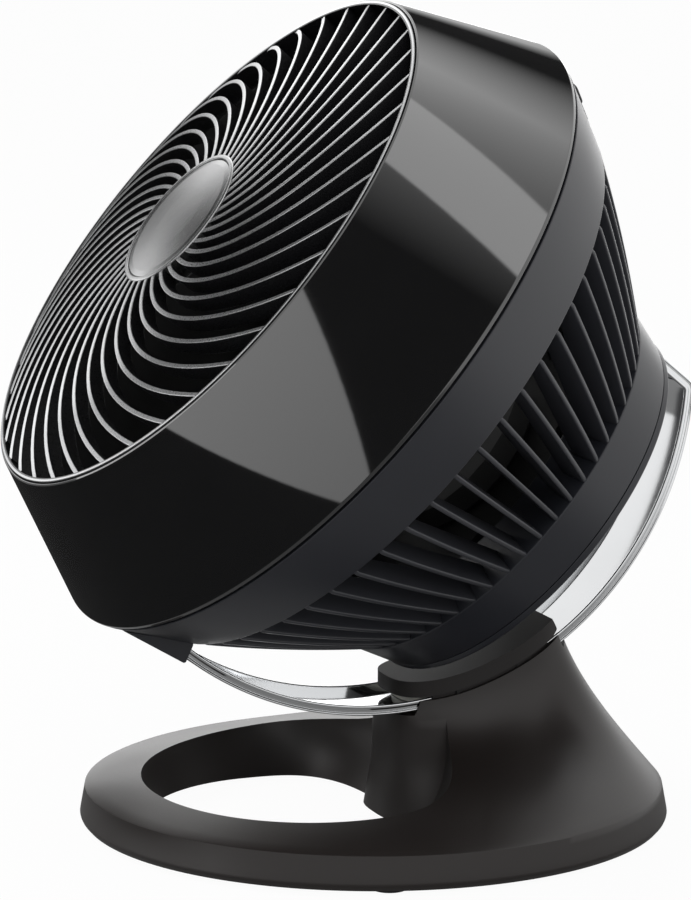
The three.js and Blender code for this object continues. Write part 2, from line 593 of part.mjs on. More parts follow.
const outletRing = revolve([
  [rimSkirtR - 2.2, SHROUD_L - 8], [rimSkirtR, SHROUD_L - 8], [rimSkirtR, SHROUD_L + GAP],
  [OPENING_R, SHROUD_L + GAP], [OPENING_R, RIM_FRONT - 1], [OPENING_R - 1, RIM_FRONT],
  [ringIn, RIM_FRONT], [ringIn, RIM_FRONT - VANE_DEPTH - 2],
], VANE_COUNT);
const HUB_FRONT = RIM_FRONT - 0.6 + DOME_H + 0.8;
const BADGE_T = 2;
const grilleHub = revolve([
  [0, HUB_FRONT - BADGE_T - 3 - GAP], [HUB_R, HUB_FRONT - VANE_DEPTH - 3],
  [HUB_R, HUB_FRONT - 0.6], [HUB_R - 0.8, HUB_FRONT], [HUB_R - 2.5, HUB_FRONT],
  [HUB_R - 2.5, HUB_FRONT - BADGE_T - GAP], [0, HUB_FRONT - BADGE_T - GAP],
], 30);
add(head, 'front_grille', 'silver_black', join([outletRing, grilleHub, ...vanes]));
const badgeR = HUB_R - 2.5 - GAP;
add(head, 'grille_badge', 'badge_silver', revolve([
  [0, HUB_FRONT - BADGE_T], [badgeR, HUB_FRONT - BADGE_T], [badgeR, HUB_FRONT - 0.6],
  [badgeR - 0.6, HUB_FRONT - 0.1], [0, HUB_FRONT],
], 30));

// ---------------------------------------------------------------- duct

const ductFront = SHROUD_L - 8 - GAP;
const flangeR = BAND_REAR_R - WALL + bandSlope * 3 - GAP * 3;
add(head, 'inner_duct', 'satin_black', revolve([
  [DUCT_R, -20], [DUCT_R + 5, -BAND_L + 4.6], [flangeR, -BAND_L + 4.6],
  [flangeR, -BAND_L + 7], [DUCT_R + 6.6, -BAND_L + 7], [DUCT_R + 2.4, -19],
  [DUCT_R + 6, 14], [rimSkirtR, ductFront - 3], [rimSkirtR, ductFront],
  [rimSkirtR - 2.4, ductFront], [DUCT_R + 3.6, 14],
], 40));

// ---------------------------------------------------------------- motor

const MOUNT_T = 3.5;
const mountR = CONE_IN + 6;
const boreR = 11;                  // bearing pocket
const mountHoles = Array.from({ length: 6 }, (_, i) => turned(
  rod(11, MOUNT_S - 10, MOUNT_S + 6, 8).translate(mountR - 19, 0, 0), rad(60 * i + 30)));
const mountDisc = revolve([
  [0, MOUNT_S - MOUNT_T], [mountR, MOUNT_S - MOUNT_T], [mountR, MOUNT_S - 0.6],
  [mountR - 0.6, MOUNT_S], [0, MOUNT_S],
], 36);
add(head, 'motor_mount', 'steel', cut(mountDisc, mountHoles));

const motorRear = MOUNT_S + GAP;
const motorFront = motorRear + MOTOR_L;
const statorLow = motorRear + 15;
const statorHigh = motorFront - 15;
add(head, 'motor_case_rear', 'steel', revolve([
  [0, motorRear], [MOTOR_R - 3, motorRear], [MOTOR_R, motorRear + 3], [MOTOR_R, statorLow - GAP],
  [MOTOR_R - 1.6, statorLow - GAP], [MOTOR_R - 1.6, motorRear + 3.6], [MOTOR_R - 4, motorRear + 2],
  [boreR + 2, motorRear + 2], [boreR + 2, motorRear + 9], [boreR, motorRear + 9],
  [boreR, motorRear + 2], [0, motorRear + 2],
], 16));
add(head, 'motor_case_front', 'steel', revolve([
  [SHAFT_R + 1, motorFront - 2], [boreR, motorFront - 2], [boreR, motorFront - 9],
  [boreR + 2, motorFront - 9], [boreR + 2, motorFront - 2], [MOTOR_R - 4, motorFront - 2],
  [MOTOR_R - 1.6, motorFront - 3.6], [MOTOR_R - 1.6, statorHigh + GAP], [MOTOR_R, statorHigh + GAP],
  [MOTOR_R, motorFront - 3], [MOTOR_R - 3, motorFront], [SHAFT_R + 1, motorFront],
], 16));
const statorIn = 24;
add(head, 'stator_core', 'steel', revolve([
  [statorIn, statorLow], [MOTOR_R + 1, statorLow], [MOTOR_R + 1, statorHigh], [statorIn, statorHigh],
], 16));
for (const [name, low] of [['winding_rear', statorLow - GAP - 7], ['winding_front', statorHigh + GAP]]) {
  add(head, name, 'copper', revolve([
    [statorIn + 4, low], [MOTOR_R - 6, low + 1.4], [MOTOR_R - 6, low + 5.6], [statorIn + 4, low + 7],
  ], 24));
}
const bearing = (low) => revolve([
  [SHAFT_R + GAP, low], [boreR - GAP, low], [boreR - GAP, low + 6], [SHAFT_R + GAP, low + 6],
], 16);
add(head, 'bearing_rear', 'steel', bearing(motorRear + 2 + GAP));
add(head, 'bearing_front', 'steel', bearing(motorFront - 2 - GAP - 6));

const capacitorTop = MOUNT_S - MOUNT_T - GAP;
add(head, 'run_capacitor', 'button_black', prism(roundedBox(38, 20, 2), capacitorTop - 15, capacitorTop)
  .translate(0, 46, 0));

// ---------------------------------------------------------------- propeller

const propeller = new THREE.Group();
head.add(propeller);
const hubBack = motorFront + 2;
const hubFront = hubBack + 44;
const shaftTop = hubFront - 12;
const tipR = DUCT_R - BLADE_GAP;
const spinner = revolve([
  [SHAFT_R + GAP, hubBack], [9, hubBack], [9, hubFront - 24], [SPINNER_R - 3, hubFront - 24],
  [SPINNER_R - 3, hubBack + 3], [SPINNER_R, hubBack + 3], [SPINNER_R, hubFront - 12],
  [SPINNER_R - 4, hubFront - 5], [SPINNER_R - 12, hubFront - 1], [14, hubFront],
  [14, hubFront - 9], [SHAFT_R + GAP, hubFront - 9],
], 24);

// blade surface: wide, deep-pitched and swept forward at the tip
const BLADE_WRAP = 88;             // degrees that a blade covers at its root
const BLADE_SWEEP = 16;
const BLADE_T = 2.6;
const bladeFront = (v) => lerp(hubFront - 16, hubFront - 19, v);
const bladeBack = (v) => lerp(hubBack + 6, hubBack + 12, v);
const spanSteps = 5;
const chordSteps = 5;
function bladePoint(u, v, lift) {
  const r = lerp(SPINNER_R - 1.7, tipR, v);
  const tipCut = 1 - 0.18 * v * v;
  const a = rad(BLADE_WRAP * tipCut * (u - 0.5) + BLADE_SWEEP * v);
  const bow = Math.sin(Math.PI * u) * 3.4;
  const s = lerp(bladeBack(v), bladeFront(v), u) + bow + lift;
  return [r * Math.cos(a), r * Math.sin(a), s];
}
const bladeRings = Array.from({ length: spanSteps }, (_, i) => {
  const v = i / (spanSteps - 1);
  const row = (lift) => Array.from({ length: chordSteps + 1 }, (_, j) => bladePoint(j / chordSteps, v, lift));
  return [...row(-BLADE_T / 2), ...row(BLADE_T / 2).reverse()];
});
// a blade's ends are closed strip by strip, because its section is long and thin
function bladeSolid() {
  const count = bladeRings[0].length;
  const points = bladeRings.flat();
  const faces = [];
  for (let k = 0; k + 1 < spanSteps; k++) {
    for (let i = 0; i < count; i++) {
      const j = (i + 1) % count;
      const [low, high] = [k * count, (k + 1) * count];
      faces.push(low + i, low + j, high + j, low + i, high + j, high + i);
    }
  }
  for (const [start, flip] of [[0, true], [(spanSteps - 1) * count, false]]) {
    for (let i = 0; i < chordSteps; i++) {
      const quad = [start + i, start + i + 1, start + count - 2 - i, start + count - 1 - i];
      const tris = [[0, 1, 2], [0, 2, 3]].flatMap((t) => (flip ? [t[0], t[2], t[1]] : t));
      faces.push(...tris.map((k) => quad[k]));
    }
  }
  const geometry = new THREE.BufferGeometry();
  geometry.setAttribute('position', new THREE.Float32BufferAttribute(points.flat(), 3));
  geometry.setIndex(faces);
  return solid(geometry);
}
const blade = bladeSolid();
const blades = Array.from({ length: BLADES }, (_, i) => turned(blade, (i / BLADES) * TAU));
add(propeller, 'propeller', 'fan_grey', join([spinner, ...blades]));
add(propeller, 'motor_shaft', 'steel', rod(SHAFT_R, motorRear + 2 + GAP, shaftTop, 20));
add(propeller, 'propeller_nut', 'steel', rod(7, hubFront - 9 + GAP, hubFront - 3, 6)
  .subtract(rod(SHAFT_R + GAP, hubFront - 20, hubFront + 2, SMALL)));
add(propeller, 'rotor_core', 'steel', revolve([
  [SHAFT_R + 0.3, statorLow + 1], [statorIn - 0.6, statorLow + 1],
  [statorIn - 0.6, statorHigh - 1], [SHAFT_R + 0.3, statorHigh - 1],
], 16));

// ---------------------------------------------------------------- rear cover

const coverFace = collarEnd - 4;
const PAD_R = 79;                  // the flat rim runs in to this radius
const coverScrewR = 89.5;
const coverScrews = [0, 1, 2, 3].map((i) => rad(45 + 90 * i));
const domeRear = -170;
const cover = revolve([
  [0, domeRear], [40, domeRear + 4], [66, domeRear + 13],
  [76, domeRear + 23], [PAD_R, coverFace], [COLLAR_REAR_R - 0.2, coverFace],
  [COLLAR_REAR_R - 0.2, collarEnd - GAP],
  [COLLAR_BORE - GAP, collarEnd - GAP], [COLLAR_BORE - GAP, collarEnd + 8],
  [COLLAR_BORE - GAP - 2.5, collarEnd + 8], [COLLAR_BORE - GAP - 2.5, coverFace + 2.6],
  [PAD_R - 2, coverFace + 2.6], [73.5, domeRear + 24], [64.5, domeRear + 15.4],
  [40, domeRear + 6.6], [0, domeRear + 2.6],
], ROUND);
const GLAND_R = 6;
const glandSpot = [-46, -34];
const glandBoss = rod(10, domeRear + 4, domeRear + 20, 16).translate(...glandSpot, 0);
const glandWell = rod(GLAND_R + GAP, domeRear - 4, domeRear + 40, 14).translate(...glandSpot, 0);
const domeInside = revolve([
  [0, domeRear + 2.6], [40, domeRear + 6.6], [64.5, domeRear + 15.4],
  [73.5, domeRear + 24], [73.5, domeRear + 40], [0, domeRear + 40],
], ROUND);
const screwBores = [
  ...coverScrews.map((a) => [coverScrewR * Math.cos(a), coverScrewR * Math.sin(a)]),
  ...footScrews.map((x) => [x, FOOT_SCREW_U]),
].map(([x, y]) => rod(1.75, coverFace - 6, coverFace + 9, 6).translate(x, y, 0));
const bossed = join([cover, glandBoss.subtract(domeInside)]);
add(head, 'rear_cover', 'satin_charcoal', cut(bossed, [glandWell, ...screwBores]));

const panHead = (z, up) => rod(3.2, z - 2.2, z, SMALL, 3.4).add(rod(1.45, z - 1, z + up, 6));
coverScrews.forEach((a, i) => {
  const spot = [coverScrewR * Math.cos(a), coverScrewR * Math.sin(a), 0];
  add(head, `cover_screw_${i + 1}`, 'steel', panHead(coverFace - GAP, 7)).position.set(...spot);
});
footScrews.forEach((x, i) => {
  const screw = panHead(footBack - GLIDE_T - GAP, 9);
  add(head, `glide_screw_${i + 1}`, 'steel', screw).position.set(x, FOOT_SCREW_U, 0);
});
const glandOut = domeRear + 4 - GAP;
const glandBody = join([
  rod(GLAND_R, glandOut - 0.5, domeRear + 24, 14), rod(8.6, glandOut - 2.4, glandOut, 14),
  rod(4.8, glandOut - 9, glandOut - 2, 14, 5.8),
]).subtract(rod(3.2, glandOut - 20, domeRear + 40, 10));
add(head, 'cord_gland', 'rubber', glandBody).position.set(...glandSpot, 0);

// ---------------------------------------------------------------- placing

// the origin is on the floor, below the middle of the whole fan
const middle = new THREE.Box3().setFromObject(model, true).getCenter(new THREE.Vector3());
model.position.y = -middle.y;
model.updateMatrixWorld(true);

export default model;
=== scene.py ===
"""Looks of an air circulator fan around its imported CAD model. Metres; front to -Y, up +Z."""

import math

import bmesh
import bpy
import numpy as np
from mathutils import Matrix, Vector


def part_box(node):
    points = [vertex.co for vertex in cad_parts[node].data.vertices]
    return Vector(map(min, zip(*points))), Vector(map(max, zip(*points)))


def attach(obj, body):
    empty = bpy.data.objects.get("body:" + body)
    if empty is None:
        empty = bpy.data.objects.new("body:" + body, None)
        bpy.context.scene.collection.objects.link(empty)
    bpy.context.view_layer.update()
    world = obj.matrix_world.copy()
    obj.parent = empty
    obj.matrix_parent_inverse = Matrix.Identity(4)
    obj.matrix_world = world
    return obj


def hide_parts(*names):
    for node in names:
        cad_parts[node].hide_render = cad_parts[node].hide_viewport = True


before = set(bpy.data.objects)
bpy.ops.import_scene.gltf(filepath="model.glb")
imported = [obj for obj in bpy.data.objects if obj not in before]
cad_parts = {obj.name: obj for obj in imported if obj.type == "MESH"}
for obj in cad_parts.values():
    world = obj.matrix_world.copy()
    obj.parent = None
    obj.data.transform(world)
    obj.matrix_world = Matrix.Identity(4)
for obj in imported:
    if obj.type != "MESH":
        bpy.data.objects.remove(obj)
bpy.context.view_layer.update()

# ------------------------------------------------------------------ sizes, millimetres

MM = 0.001
GAP = 0.35  # clearance between pieces that touch
WALL = 3.0  # moulded wall
TAU = 2 * math.pi

# head, from the joint line of its two shells: s runs forward along its axis, r outward
HEAD_R = 175.0  # widest radius, at the joint line
OPENING_R = 143.6  # seat of the silver ring round the outlet
SHROUD_L = 70.0  # joint line to the seat of the grille
BAND_L = 36.0  # plain band behind the joint line
BAND_REAR_R = 158.0  # its radius where the inlet fins start
COLLAR_S = 112.0  # joint line to the front edge of the collar
COLLAR_FRONT_R = 108.3
COLLAR_L = 24.0
COLLAR_REAR_R = 101.5
COVER_STEP = 4.0  # rear end of the collar to the cover's rim
COVER_REAR = -170.0  # s of the cover's rearmost point
REST_TILT = 40.0  # head's axis above the horizon, degrees
LIP = 3.4  # thickness of the shroud's rear edge, which goes round the band's tongue
TONGUE_L = 3.6  # how far that tongue reaches past the joint line

# inlet fins
FIN_COUNT = 60
FIN_PHASE = 4.4  # angle of the first fin from straight up, clockwise
FIN_T = 2.5
FIN_DEPTH = 15.0
FIN_SWELL = 1.6  # how far the fins bow out of the straight cone

# outlet grille
VANE_COUNT = 40
VANE_T = 2.3
VANE_DEPTH = 9.0
VANE_SWEEP = 54.0  # degrees that a vane turns from rim to hub
VANE_PHASE = 2.9  # angle of the first vane at the rim, from straight up
RIM_T = 3.6  # radial width of the ring
RIM_EDGE = 1.2  # how much of that width is bright
HUB_R = 37.4
DOME_H = 15.8  # hub's front edge ahead of the ring
BADGE_WELL = 2.35  # depth of the hub's recess for the badge
BADGE_EDGE = 2.5  # hub's edge left round that recess

# glide and saddle
PIVOT_S = -37.0  # tilt centre, on the head's axis
PIVOT_Y = -2.0  # tilt centre, from the middle of the base
PIVOT_Z = 219.5
GLIDE_R = 163.0  # outside radius of the glide, from the tilt centre
GLIDE_W = 46.0
GLIDE_T = 1.8
FLANGE_H = 5.2  # height of the glide's two edges
TAB_U = 97.0  # height of the glide's rear leg above the head's axis
TAB_FOOT = 13.0  # length of the foot that is screwed to the rear cover
CHEEK_T = 5.6  # saddle wall at each side of the glide
SADDLE_FRONT = 6.0  # y of the saddle's nose
SADDLE_REAR = 90.5  # y of its heel
SADDLE_ROUND = 2 / 3  # power that rounds the nose's outline
HEEL_ROUND = 0.4  # power that squares the heel's outline
CAP_END = 35.3  # degrees behind straight down, where the cap ends
CAP_T = 7.6
SHADOW_H = 1.6  # dark line below the cap
SHADOW_D = 2.0
PAD_T = 1.3  # felt under the glide

# base
BASE_R = 144.0
EDGE_H = 16.6  # top of the outer edge
BEVEL = 2.4  # how far that edge leans in
# the hole's outline: half width, y where it is widest, reach ahead of that, reach behind, squareness
HOLE_LOW = (84.0, -38.0, 73.8, 46.0, 3.4)  # at the floor
HOLE_HIGH = (98.0, -27.0, 88.0, 56.0, 2.0)  # above the disc
HOLE_LEAN = 40.0  # height over which its wall leans out
NOSE_GROW = 14.0  # how much wider the nose is at the floor than at the saddle
NOSE_REACH = 7.5  # how much further forward it is there
NOSE_WAIST = 0.32  # share of that growth left at the nose's waist
FOOT_R = 9.0
FOOT_H = 2.2  # the feet stand this far below the base

# fan and motor
DUCT_R = 116.0  # bore of the inner duct at the propeller
DUCT_T = 2.4
BLADE_GAP = 3.2  # tip clearance
SPINNER_R = 36.0
SPINNER_L = 44.0
SHAFT_R = 4.0
MOUNT_S = -108.0  # front face of the motor mount
MOTOR_L = 48.0

# controls
PANEL_S = -18.0  # middle of the panel, along the head
PANEL_HALF_ANGLE = 17.0  # degrees to each side of the top
PANEL_HALF_L = 10.0
BUTTON_STEP = 6.0  # degrees from button to button
BUTTON_W = 13.0
BUTTON_L = 10.0

collar_end = -COLLAR_S - COLLAR_L
cover_face = collar_end - COVER_STEP

# from millimetres round the base's middle, and round the head's joint line, to the row frame
base_lo, base_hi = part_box("base_shell")
BASE_Y = (base_lo.y + base_hi.y) / 2
tilt = math.radians(REST_TILT)
BASE = Matrix.Translation((0, BASE_Y, 0)) @ Matrix.Scale(MM, 4)
HEAD = (
    Matrix.Translation((
        0,
        BASE_Y + MM * (PIVOT_Y + PIVOT_S * math.cos(tilt)),
        MM * (PIVOT_Z - PIVOT_S * math.sin(tilt)),
    ))
    @ Matrix.Rotation(math.pi / 2 - tilt, 4, "X")
    @ Matrix.Scale(MM, 4)
)

# ------------------------------------------------------------------ camera

# the camera that the photo's outlines fit, in degrees and metres
VIEW_AZIMUTH = 69.04
VIEW_ELEVATION = 10.13
VIEW_DISTANCE = 2.1134
VIEW_TARGET = Vector((0.0033, -0.0159 + BASE_Y, 0.1847))
FOCAL_PX = 4378.1
PICTURE_H = 900
SENSOR_MM = 36

azimuth = math.radians(VIEW_AZIMUTH)
elevation = math.radians(VIEW_ELEVATION)
view_back = Vector((
    math.sin(azimuth) * math.cos(elevation),
    -math.cos(azimuth) * math.cos(elevation),
    math.sin(elevation),
))
camera_data = bpy.data.cameras.new("photo_view")
camera_data.sensor_width = SENSOR_MM
camera_data.lens = FOCAL_PX * SENSOR_MM / PICTURE_H
camera_data.clip_start = 0.05
camera_data.clip_end = 60
camera = bpy.data.objects.new("photo_view", camera_data)
camera.location = VIEW_TARGET + view_back * VIEW_DISTANCE
camera.rotation_mode = "QUATERNION"
camera.rotation_quaternion = (-view_back).to_track_quat("-Z", "Y")
bpy.context.scene.collection.objects.link(camera)
bpy.context.scene.camera = camera
bpy.context.scene.view_settings.view_transform = "Standard"

# ------------------------------------------------------------------ materials


class Shade:
    """A socket's value in a material, with arithmetic that adds the nodes."""

    def __init__(self, material, socket):
        self.material = material
        self.socket = socket

    def _math(self, operation, other, swap=False):
        values = [other, self] if swap else [self, other]
        return self.material.node("ShaderNodeMath", {"operation": operation}, {0: values[0], 1: values[1]})

    def __add__(self, other):
        return self._math("ADD", other)

    __radd__ = __add__

    def __sub__(self, other):
        return self._math("SUBTRACT", other)

    def __rsub__(self, other):
        return self._math("SUBTRACT", other, swap=True)

    def __mul__(self, other):
        return self._math("MULTIPLY", other)

    __rmul__ = __mul__

    def __pow__(self, other):
        return self._math("POWER", other)

    def above(self, edge, soft):
        """0 below the edge and 1 above it, rising over twice soft."""
        return self.material.node(
            "ShaderNodeMapRange",
            {"clamp": True},
            {"Value": self, "From Min": edge - soft, "From Max": edge + soft},
        )


class Finish:
    """One material, made of nodes added by name, settings and socket values."""

    def __init__(self, name, **principled):
        self.material = bpy.data.materials.new(name)
        self.material.use_nodes = True
        self.tree = self.material.node_tree
        self.shader = self.tree.nodes["Principled BSDF"]
        for socket, value in principled.items():
            self.set(socket.replace("_", " "), value)

    def node(self, kind, settings=None, sockets=None, out=0):
        made = self.tree.nodes.new(kind)
        for key, value in (settings or {}).items():
            if key == "stops":
                ramp = made.color_ramp
                for position, color in value[2:]:
                    ramp.elements.new(position).color = color
                for element, (position, color) in zip(ramp.elements, value[:2]):
                    element.position, element.color = position, color
            else:
                setattr(made, key, value)
        for key, value in (sockets or {}).items():
            self._feed(made.inputs[key], value)
        return Shade(self, made.outputs[out])

    def _feed(self, socket, value):
        if isinstance(value, Shade):
            self.tree.links.new(value.socket, socket)
        elif isinstance(value, (tuple, list)) and len(value) == 3 and socket.type == "RGBA":
            socket.default_value = (*value, 1)
        else:
            socket.default_value = value

    def set(self, socket, value):
        self._feed(self.shader.inputs[socket], value)

    def noise(self, size_mm, detail=3.0, roughness=0.5):
        """Noise in the piece's own coordinates, its largest blots about size_mm wide."""
        where = self.node("ShaderNodeTexCoord", out="Object")
        return self.node(
            "ShaderNodeTexNoise",
            sockets={
                "Vector": where,
                "Scale": 1 / (size_mm * MM),
                "Detail": detail,
                "Roughness": roughness,
            },
        )

    def mix(self, factor, low, high):
        """The colour low where factor is 0 and high where it is 1."""
        made = self.tree.nodes.new("ShaderNodeMix")
        made.data_type = "RGBA"
        color_inputs = [s for s in made.inputs if s.type == "RGBA"]
        self._feed(made.inputs[0], factor)
        self._feed(color_inputs[0], low)
        self._feed(color_inputs[1], high)
        return Shade(self, [s for s in made.outputs if s.type == "RGBA"][0])

    def bump(self, height, depth_mm):
        sockets = {"Height": height, "Distance": depth_mm * MM, "Strength": 1.0}
        self.set("Normal", self.node("ShaderNodeBump", sockets=sockets))


MOULD_TONE = 1.35  # lightest tone of a moulding against its darkest
MOULD_GLOSS = 0.05  # change of its roughness


def moulded(name, color, roughness, grain_mm=0.9, grain_depth=0.012):
    """Moulded plastic: a fine spark-eroded grain and slow changes of tone and gloss."""
    finish = Finish(name)
    grain = finish.noise(grain_mm, detail=4.0, roughness=0.6)
    slow = finish.noise(60, detail=2.0)
    bright = tuple(min(1.0, c * MOULD_TONE) for c in color)
    finish.set("Base Color", finish.mix(slow, color, bright))
    gloss = (slow - 0.5) * (MOULD_GLOSS * 2) + (grain - 0.5) * MOULD_GLOSS
    finish.set("Roughness", gloss + roughness)
    finish.bump(grain, grain_depth)
    return finish


def gloss_plastic(name, color, roughness):
    """Piano-gloss moulding: almost a mirror, with the slow ripple of a moulded face."""
    finish = Finish(name)
    ripple = finish.noise(26, detail=1.0)
    haze = finish.noise(3.5, detail=4.0, roughness=0.65)
    finish.set("Base Color", finish.mix(ripple, color, tuple(c * 1.25 for c in color)))
    finish.set("Roughness", haze * 0.03 + (roughness - 0.015))
    finish.bump(ripple, 0.008)
    finish.set("IOR", 1.6)
    finish.set("Coat Weight", 1.0)
    finish.set("Coat IOR", 1.6)
    finish.set("Coat Roughness", 0.02)
    return finish


def metal(name, color, roughness, scratch=0.05, grain_mm=1.2, metallic=1.0, relief=0.004):
    """Bare, plated or cast metal: slow changes of tone over a grain that also blurs its gloss."""
    finish = Finish(name)
    grain = finish.noise(grain_mm, detail=5.0, roughness=0.65)
    slow = finish.noise(35, detail=2.0)
    finish.set("Base Color", finish.mix(slow, tuple(c * 0.92 for c in color), color))
    finish.set("Metallic", metallic)
    finish.set("Roughness", grain * scratch + (slow - 0.5) * scratch + roughness)
    finish.bump(grain, relief)
    return finish


gloss_black = gloss_plastic("piano_black", (0.0065, 0.0065, 0.0068), 0.05)
charcoal = moulded("satin_charcoal", (0.0155, 0.0165, 0.021), 0.36)
# the fins are the band's own satin charcoal moulding; this lighter copy is painted light on their side
# faces
fins_charcoal_painted_light = moulded("satin_fins_painted_light", (0.027, 0.028, 0.033), 0.36)
base_black = moulded("satin_black_base", (0.0145, 0.0115, 0.0105), 0.4, grain_mm=1.1, grain_depth=0.016)
# saddle cap: the base's satin black, rougher, and darker than the base as painted shade
cap_black_painted_shade = moulded("saddle_cap_black_painted_shade", (0.0115, 0.0095, 0.009), 0.62, grain_mm=1.1, grain_depth=0.016)
# inner duct: the base's satin black made far darker, as painted shade inside the head
duct_shade_black = moulded("duct_black_with_painted_shade", (0.003, 0.003, 0.0032), 0.6)
fan_grey = moulded("propeller_grey", (0.012, 0.0125, 0.013), 0.38)
panel_black = moulded("panel_black", (0.010, 0.010, 0.011), 0.45)
key_black = moulded("button_black", (0.014, 0.014, 0.015), 0.5)
rubber = moulded("foot_rubber", (0.008, 0.008, 0.008), 0.75, grain_mm=0.5, grain_depth=0.03)
chrome = metal("polished_chrome", (0.80, 0.81, 0.82), 0.06, scratch=0.02, grain_mm=9, relief=0.001)
steel = metal("plain_steel", (0.50, 0.51, 0.52), 0.32, scratch=0.12)
# black paint made near-black, as painted shade on the motor inside the head and on the cap screws
black_paint_and_shade = moulded("inner_black_paint_and_shade", (0.004, 0.004, 0.004), 0.6, grain_mm=0.7)
cast = metal("cast_weight", (0.09, 0.09, 0.09), 0.6, scratch=0.2, metallic=0.4)
nylon = moulded("natural_nylon", (0.62, 0.61, 0.56), 0.45)
felt = moulded("pressed_felt", (0.035, 0.031, 0.027), 0.95, grain_mm=0.35, grain_depth=0.12)
copper = metal("enamelled_copper", (0.45, 0.17, 0.07), 0.3, scratch=0.1)
legend = moulded("legend_grey", (0.42, 0.42, 0.43), 0.5)
board = moulded("board_green", (0.008, 0.05, 0.022), 0.4)


def satin_silver(name):
    """Badge and ring: bright paint-like metal with a very fine brushing round the middle."""
    finish = Finish(name)
    fine = finish.noise(0.6, detail=3.0)
    slow = finish.noise(25, detail=2.0)
    finish.set("Base Color", finish.mix(slow, (0.42, 0.422, 0.425), (0.48, 0.482, 0.485)))
    finish.set("Metallic", 0.95)
    finish.set("Roughness", fine * 0.1 + 0.2)
    finish.bump(fine, 0.001)
    return finish


def vane_finish():
    """Black vanes whose front edges carry the bright satin finish, told by an attribute."""
    finish = Finish("vane_silver_edge")
    edge = finish.node("ShaderNodeAttribute", {"attribute_name": "front_edge"}, out="Fac")
    fine = finish.noise(0.7, detail=3.0)
    bright = edge.above(0.5, 0.12)
    finish.set("Base Color", finish.mix(bright, (0.008, 0.008, 0.009), (0.52, 0.525, 0.53)))
    finish.set("Metallic", bright * 0.9)
    finish.set("Roughness", fine * 0.08 + 0.24)
    finish.bump(fine, 0.005)
    return finish


silver = satin_silver("satin_silver")
vane_silver = vane_finish()

# ------------------------------------------------------------------ meshes


def spread(start, end, count):
    """count even values from start to end, both included."""
    return np.linspace(start, end, count).tolist()


CORNER_FIT = 0.46  # share of a side that one rounded corner may take
CORNER_HOLD = 0.4  # flat kept beside a rounded corner, so that the flat face shades flat


def closed_outline(points, steps=5):
    """A closed outline with its corners rounded. Each point is (a, b) or (a, b, radius)."""
    result = []
    count = len(points)
    for i, point in enumerate(points):
        here = Vector(point[:2])
        radius = point[2] if len(point) > 2 else 0
        if radius <= 0:
            result.append(tuple(here))
            continue
        to_last = Vector(points[i - 1][:2]) - here
        to_next = Vector(points[(i + 1) % count][:2]) - here
        angle = to_last.angle(to_next)
        reach = radius / math.tan(angle / 2)
        limit = CORNER_FIT * min(to_last.length, to_next.length)
        if reach > limit:
            radius *= limit / reach
            reach = limit
        first = here + to_last.normalized() * reach
        last = here + to_next.normalized() * reach
        middle = here + (to_last.normalized() + to_next.normalized()).normalized() * (
            radius / math.sin(angle / 2)
        )
        hold = min(0.3 * reach, CORNER_HOLD)
        result.append(tuple(first + to_last.normalized() * hold))
        start = first - middle
        turn = start.angle_signed(last - middle)
        for k in range(steps + 1):
            step = Matrix.Rotation(-turn * k / steps, 2)
            result.append(tuple(middle + step @ start))
        result.append(tuple(last + to_next.normalized() * hold))
    return result


def mesh_object(name, verts, faces, finish, place, sharp=32.0):
    """A smooth-shaded object of one material, its place in its mesh."""
    mesh = bpy.data.meshes.new(name)
    mesh.from_pydata([tuple(v) for v in verts], [], faces)
    work = bmesh.new()
    work.from_mesh(mesh)
    bmesh.ops.remove_doubles(work, verts=work.verts, dist=1e-4)
    bmesh.ops.recalc_face_normals(work, faces=work.faces)
    work.to_mesh(mesh)
    work.free()
    mesh.transform(place)
    mesh.materials.append(finish.material)
    made = bpy.data.objects.new(name, mesh)
    bpy.context.scene.collection.objects.link(made)
    smooth(made, sharp)
    return made


def smooth(made, sharp):
    """Smooth shading with hard lines where faces meet at more than sharp degrees."""
    made.data.shade_smooth()
    made.data.set_sharp_from_angle(angle=math.radians(sharp))


def revolved(name, outline, finish, place, segments=240, sharp=32.0, steps=5):
    """A closed outline of (r, s) points turned about the local s axis."""
    ring = closed_outline(outline, steps)
    count = len(ring)
    verts = []
    for j in range(segments):
        a = TAU * j / segments
        verts += [(r * math.sin(a), r * math.cos(a), s) for r, s in ring]
    faces = []
    for j in range(segments):
        k = (j + 1) % segments
        for i in range(count):
            n = (i + 1) % count
            if ring[i][0] < 1e-6 and ring[n][0] < 1e-6:
                continue
            faces.append((j * count + i, j * count + n, k * count + n, k * count + i))
    return mesh_object(name, verts, faces, finish, place, sharp)


def lofted(name, rings, finish, place, sharp=32.0, caps=True):
    """Rings of equal point count joined in turn, both ends closed by fans."""
    count = len(rings[0])
    verts = [p for ring in rings for p in ring]
    faces = []
    for k in range(len(rings) - 1):
        for i in range(count):
            j = (i + 1) % count
            faces.append((k * count + i, k * count + j, (k + 1) * count + j, (k + 1) * count + i))
    if caps:
        for start in (0, (len(rings) - 1) * count):
            middle = len(verts)
            block = np.array(verts[start : start + count], float)
            verts.append(tuple(block.mean(0)))
            for i in range(count):
                faces.append((start + i, start + (i + 1) % count, middle))
    return mesh_object(name, verts, faces, finish, place, sharp)


def prism(name, outline, z0, z1, finish, place, sharp=32.0):
    """An outline of (x, y) points carried straight from z0 to z1."""
    count = len(outline)
    verts = [(x, y, z0) for x, y in outline] + [(x, y, z1) for x, y in outline]
    faces = [tuple(range(count)), tuple(range(2 * count - 1, count - 1, -1))]
    for i in range(count):
        j = (i + 1) % count
        faces.append((i, j, count + j, count + i))
    return mesh_object(name, verts, faces, finish, place, sharp)


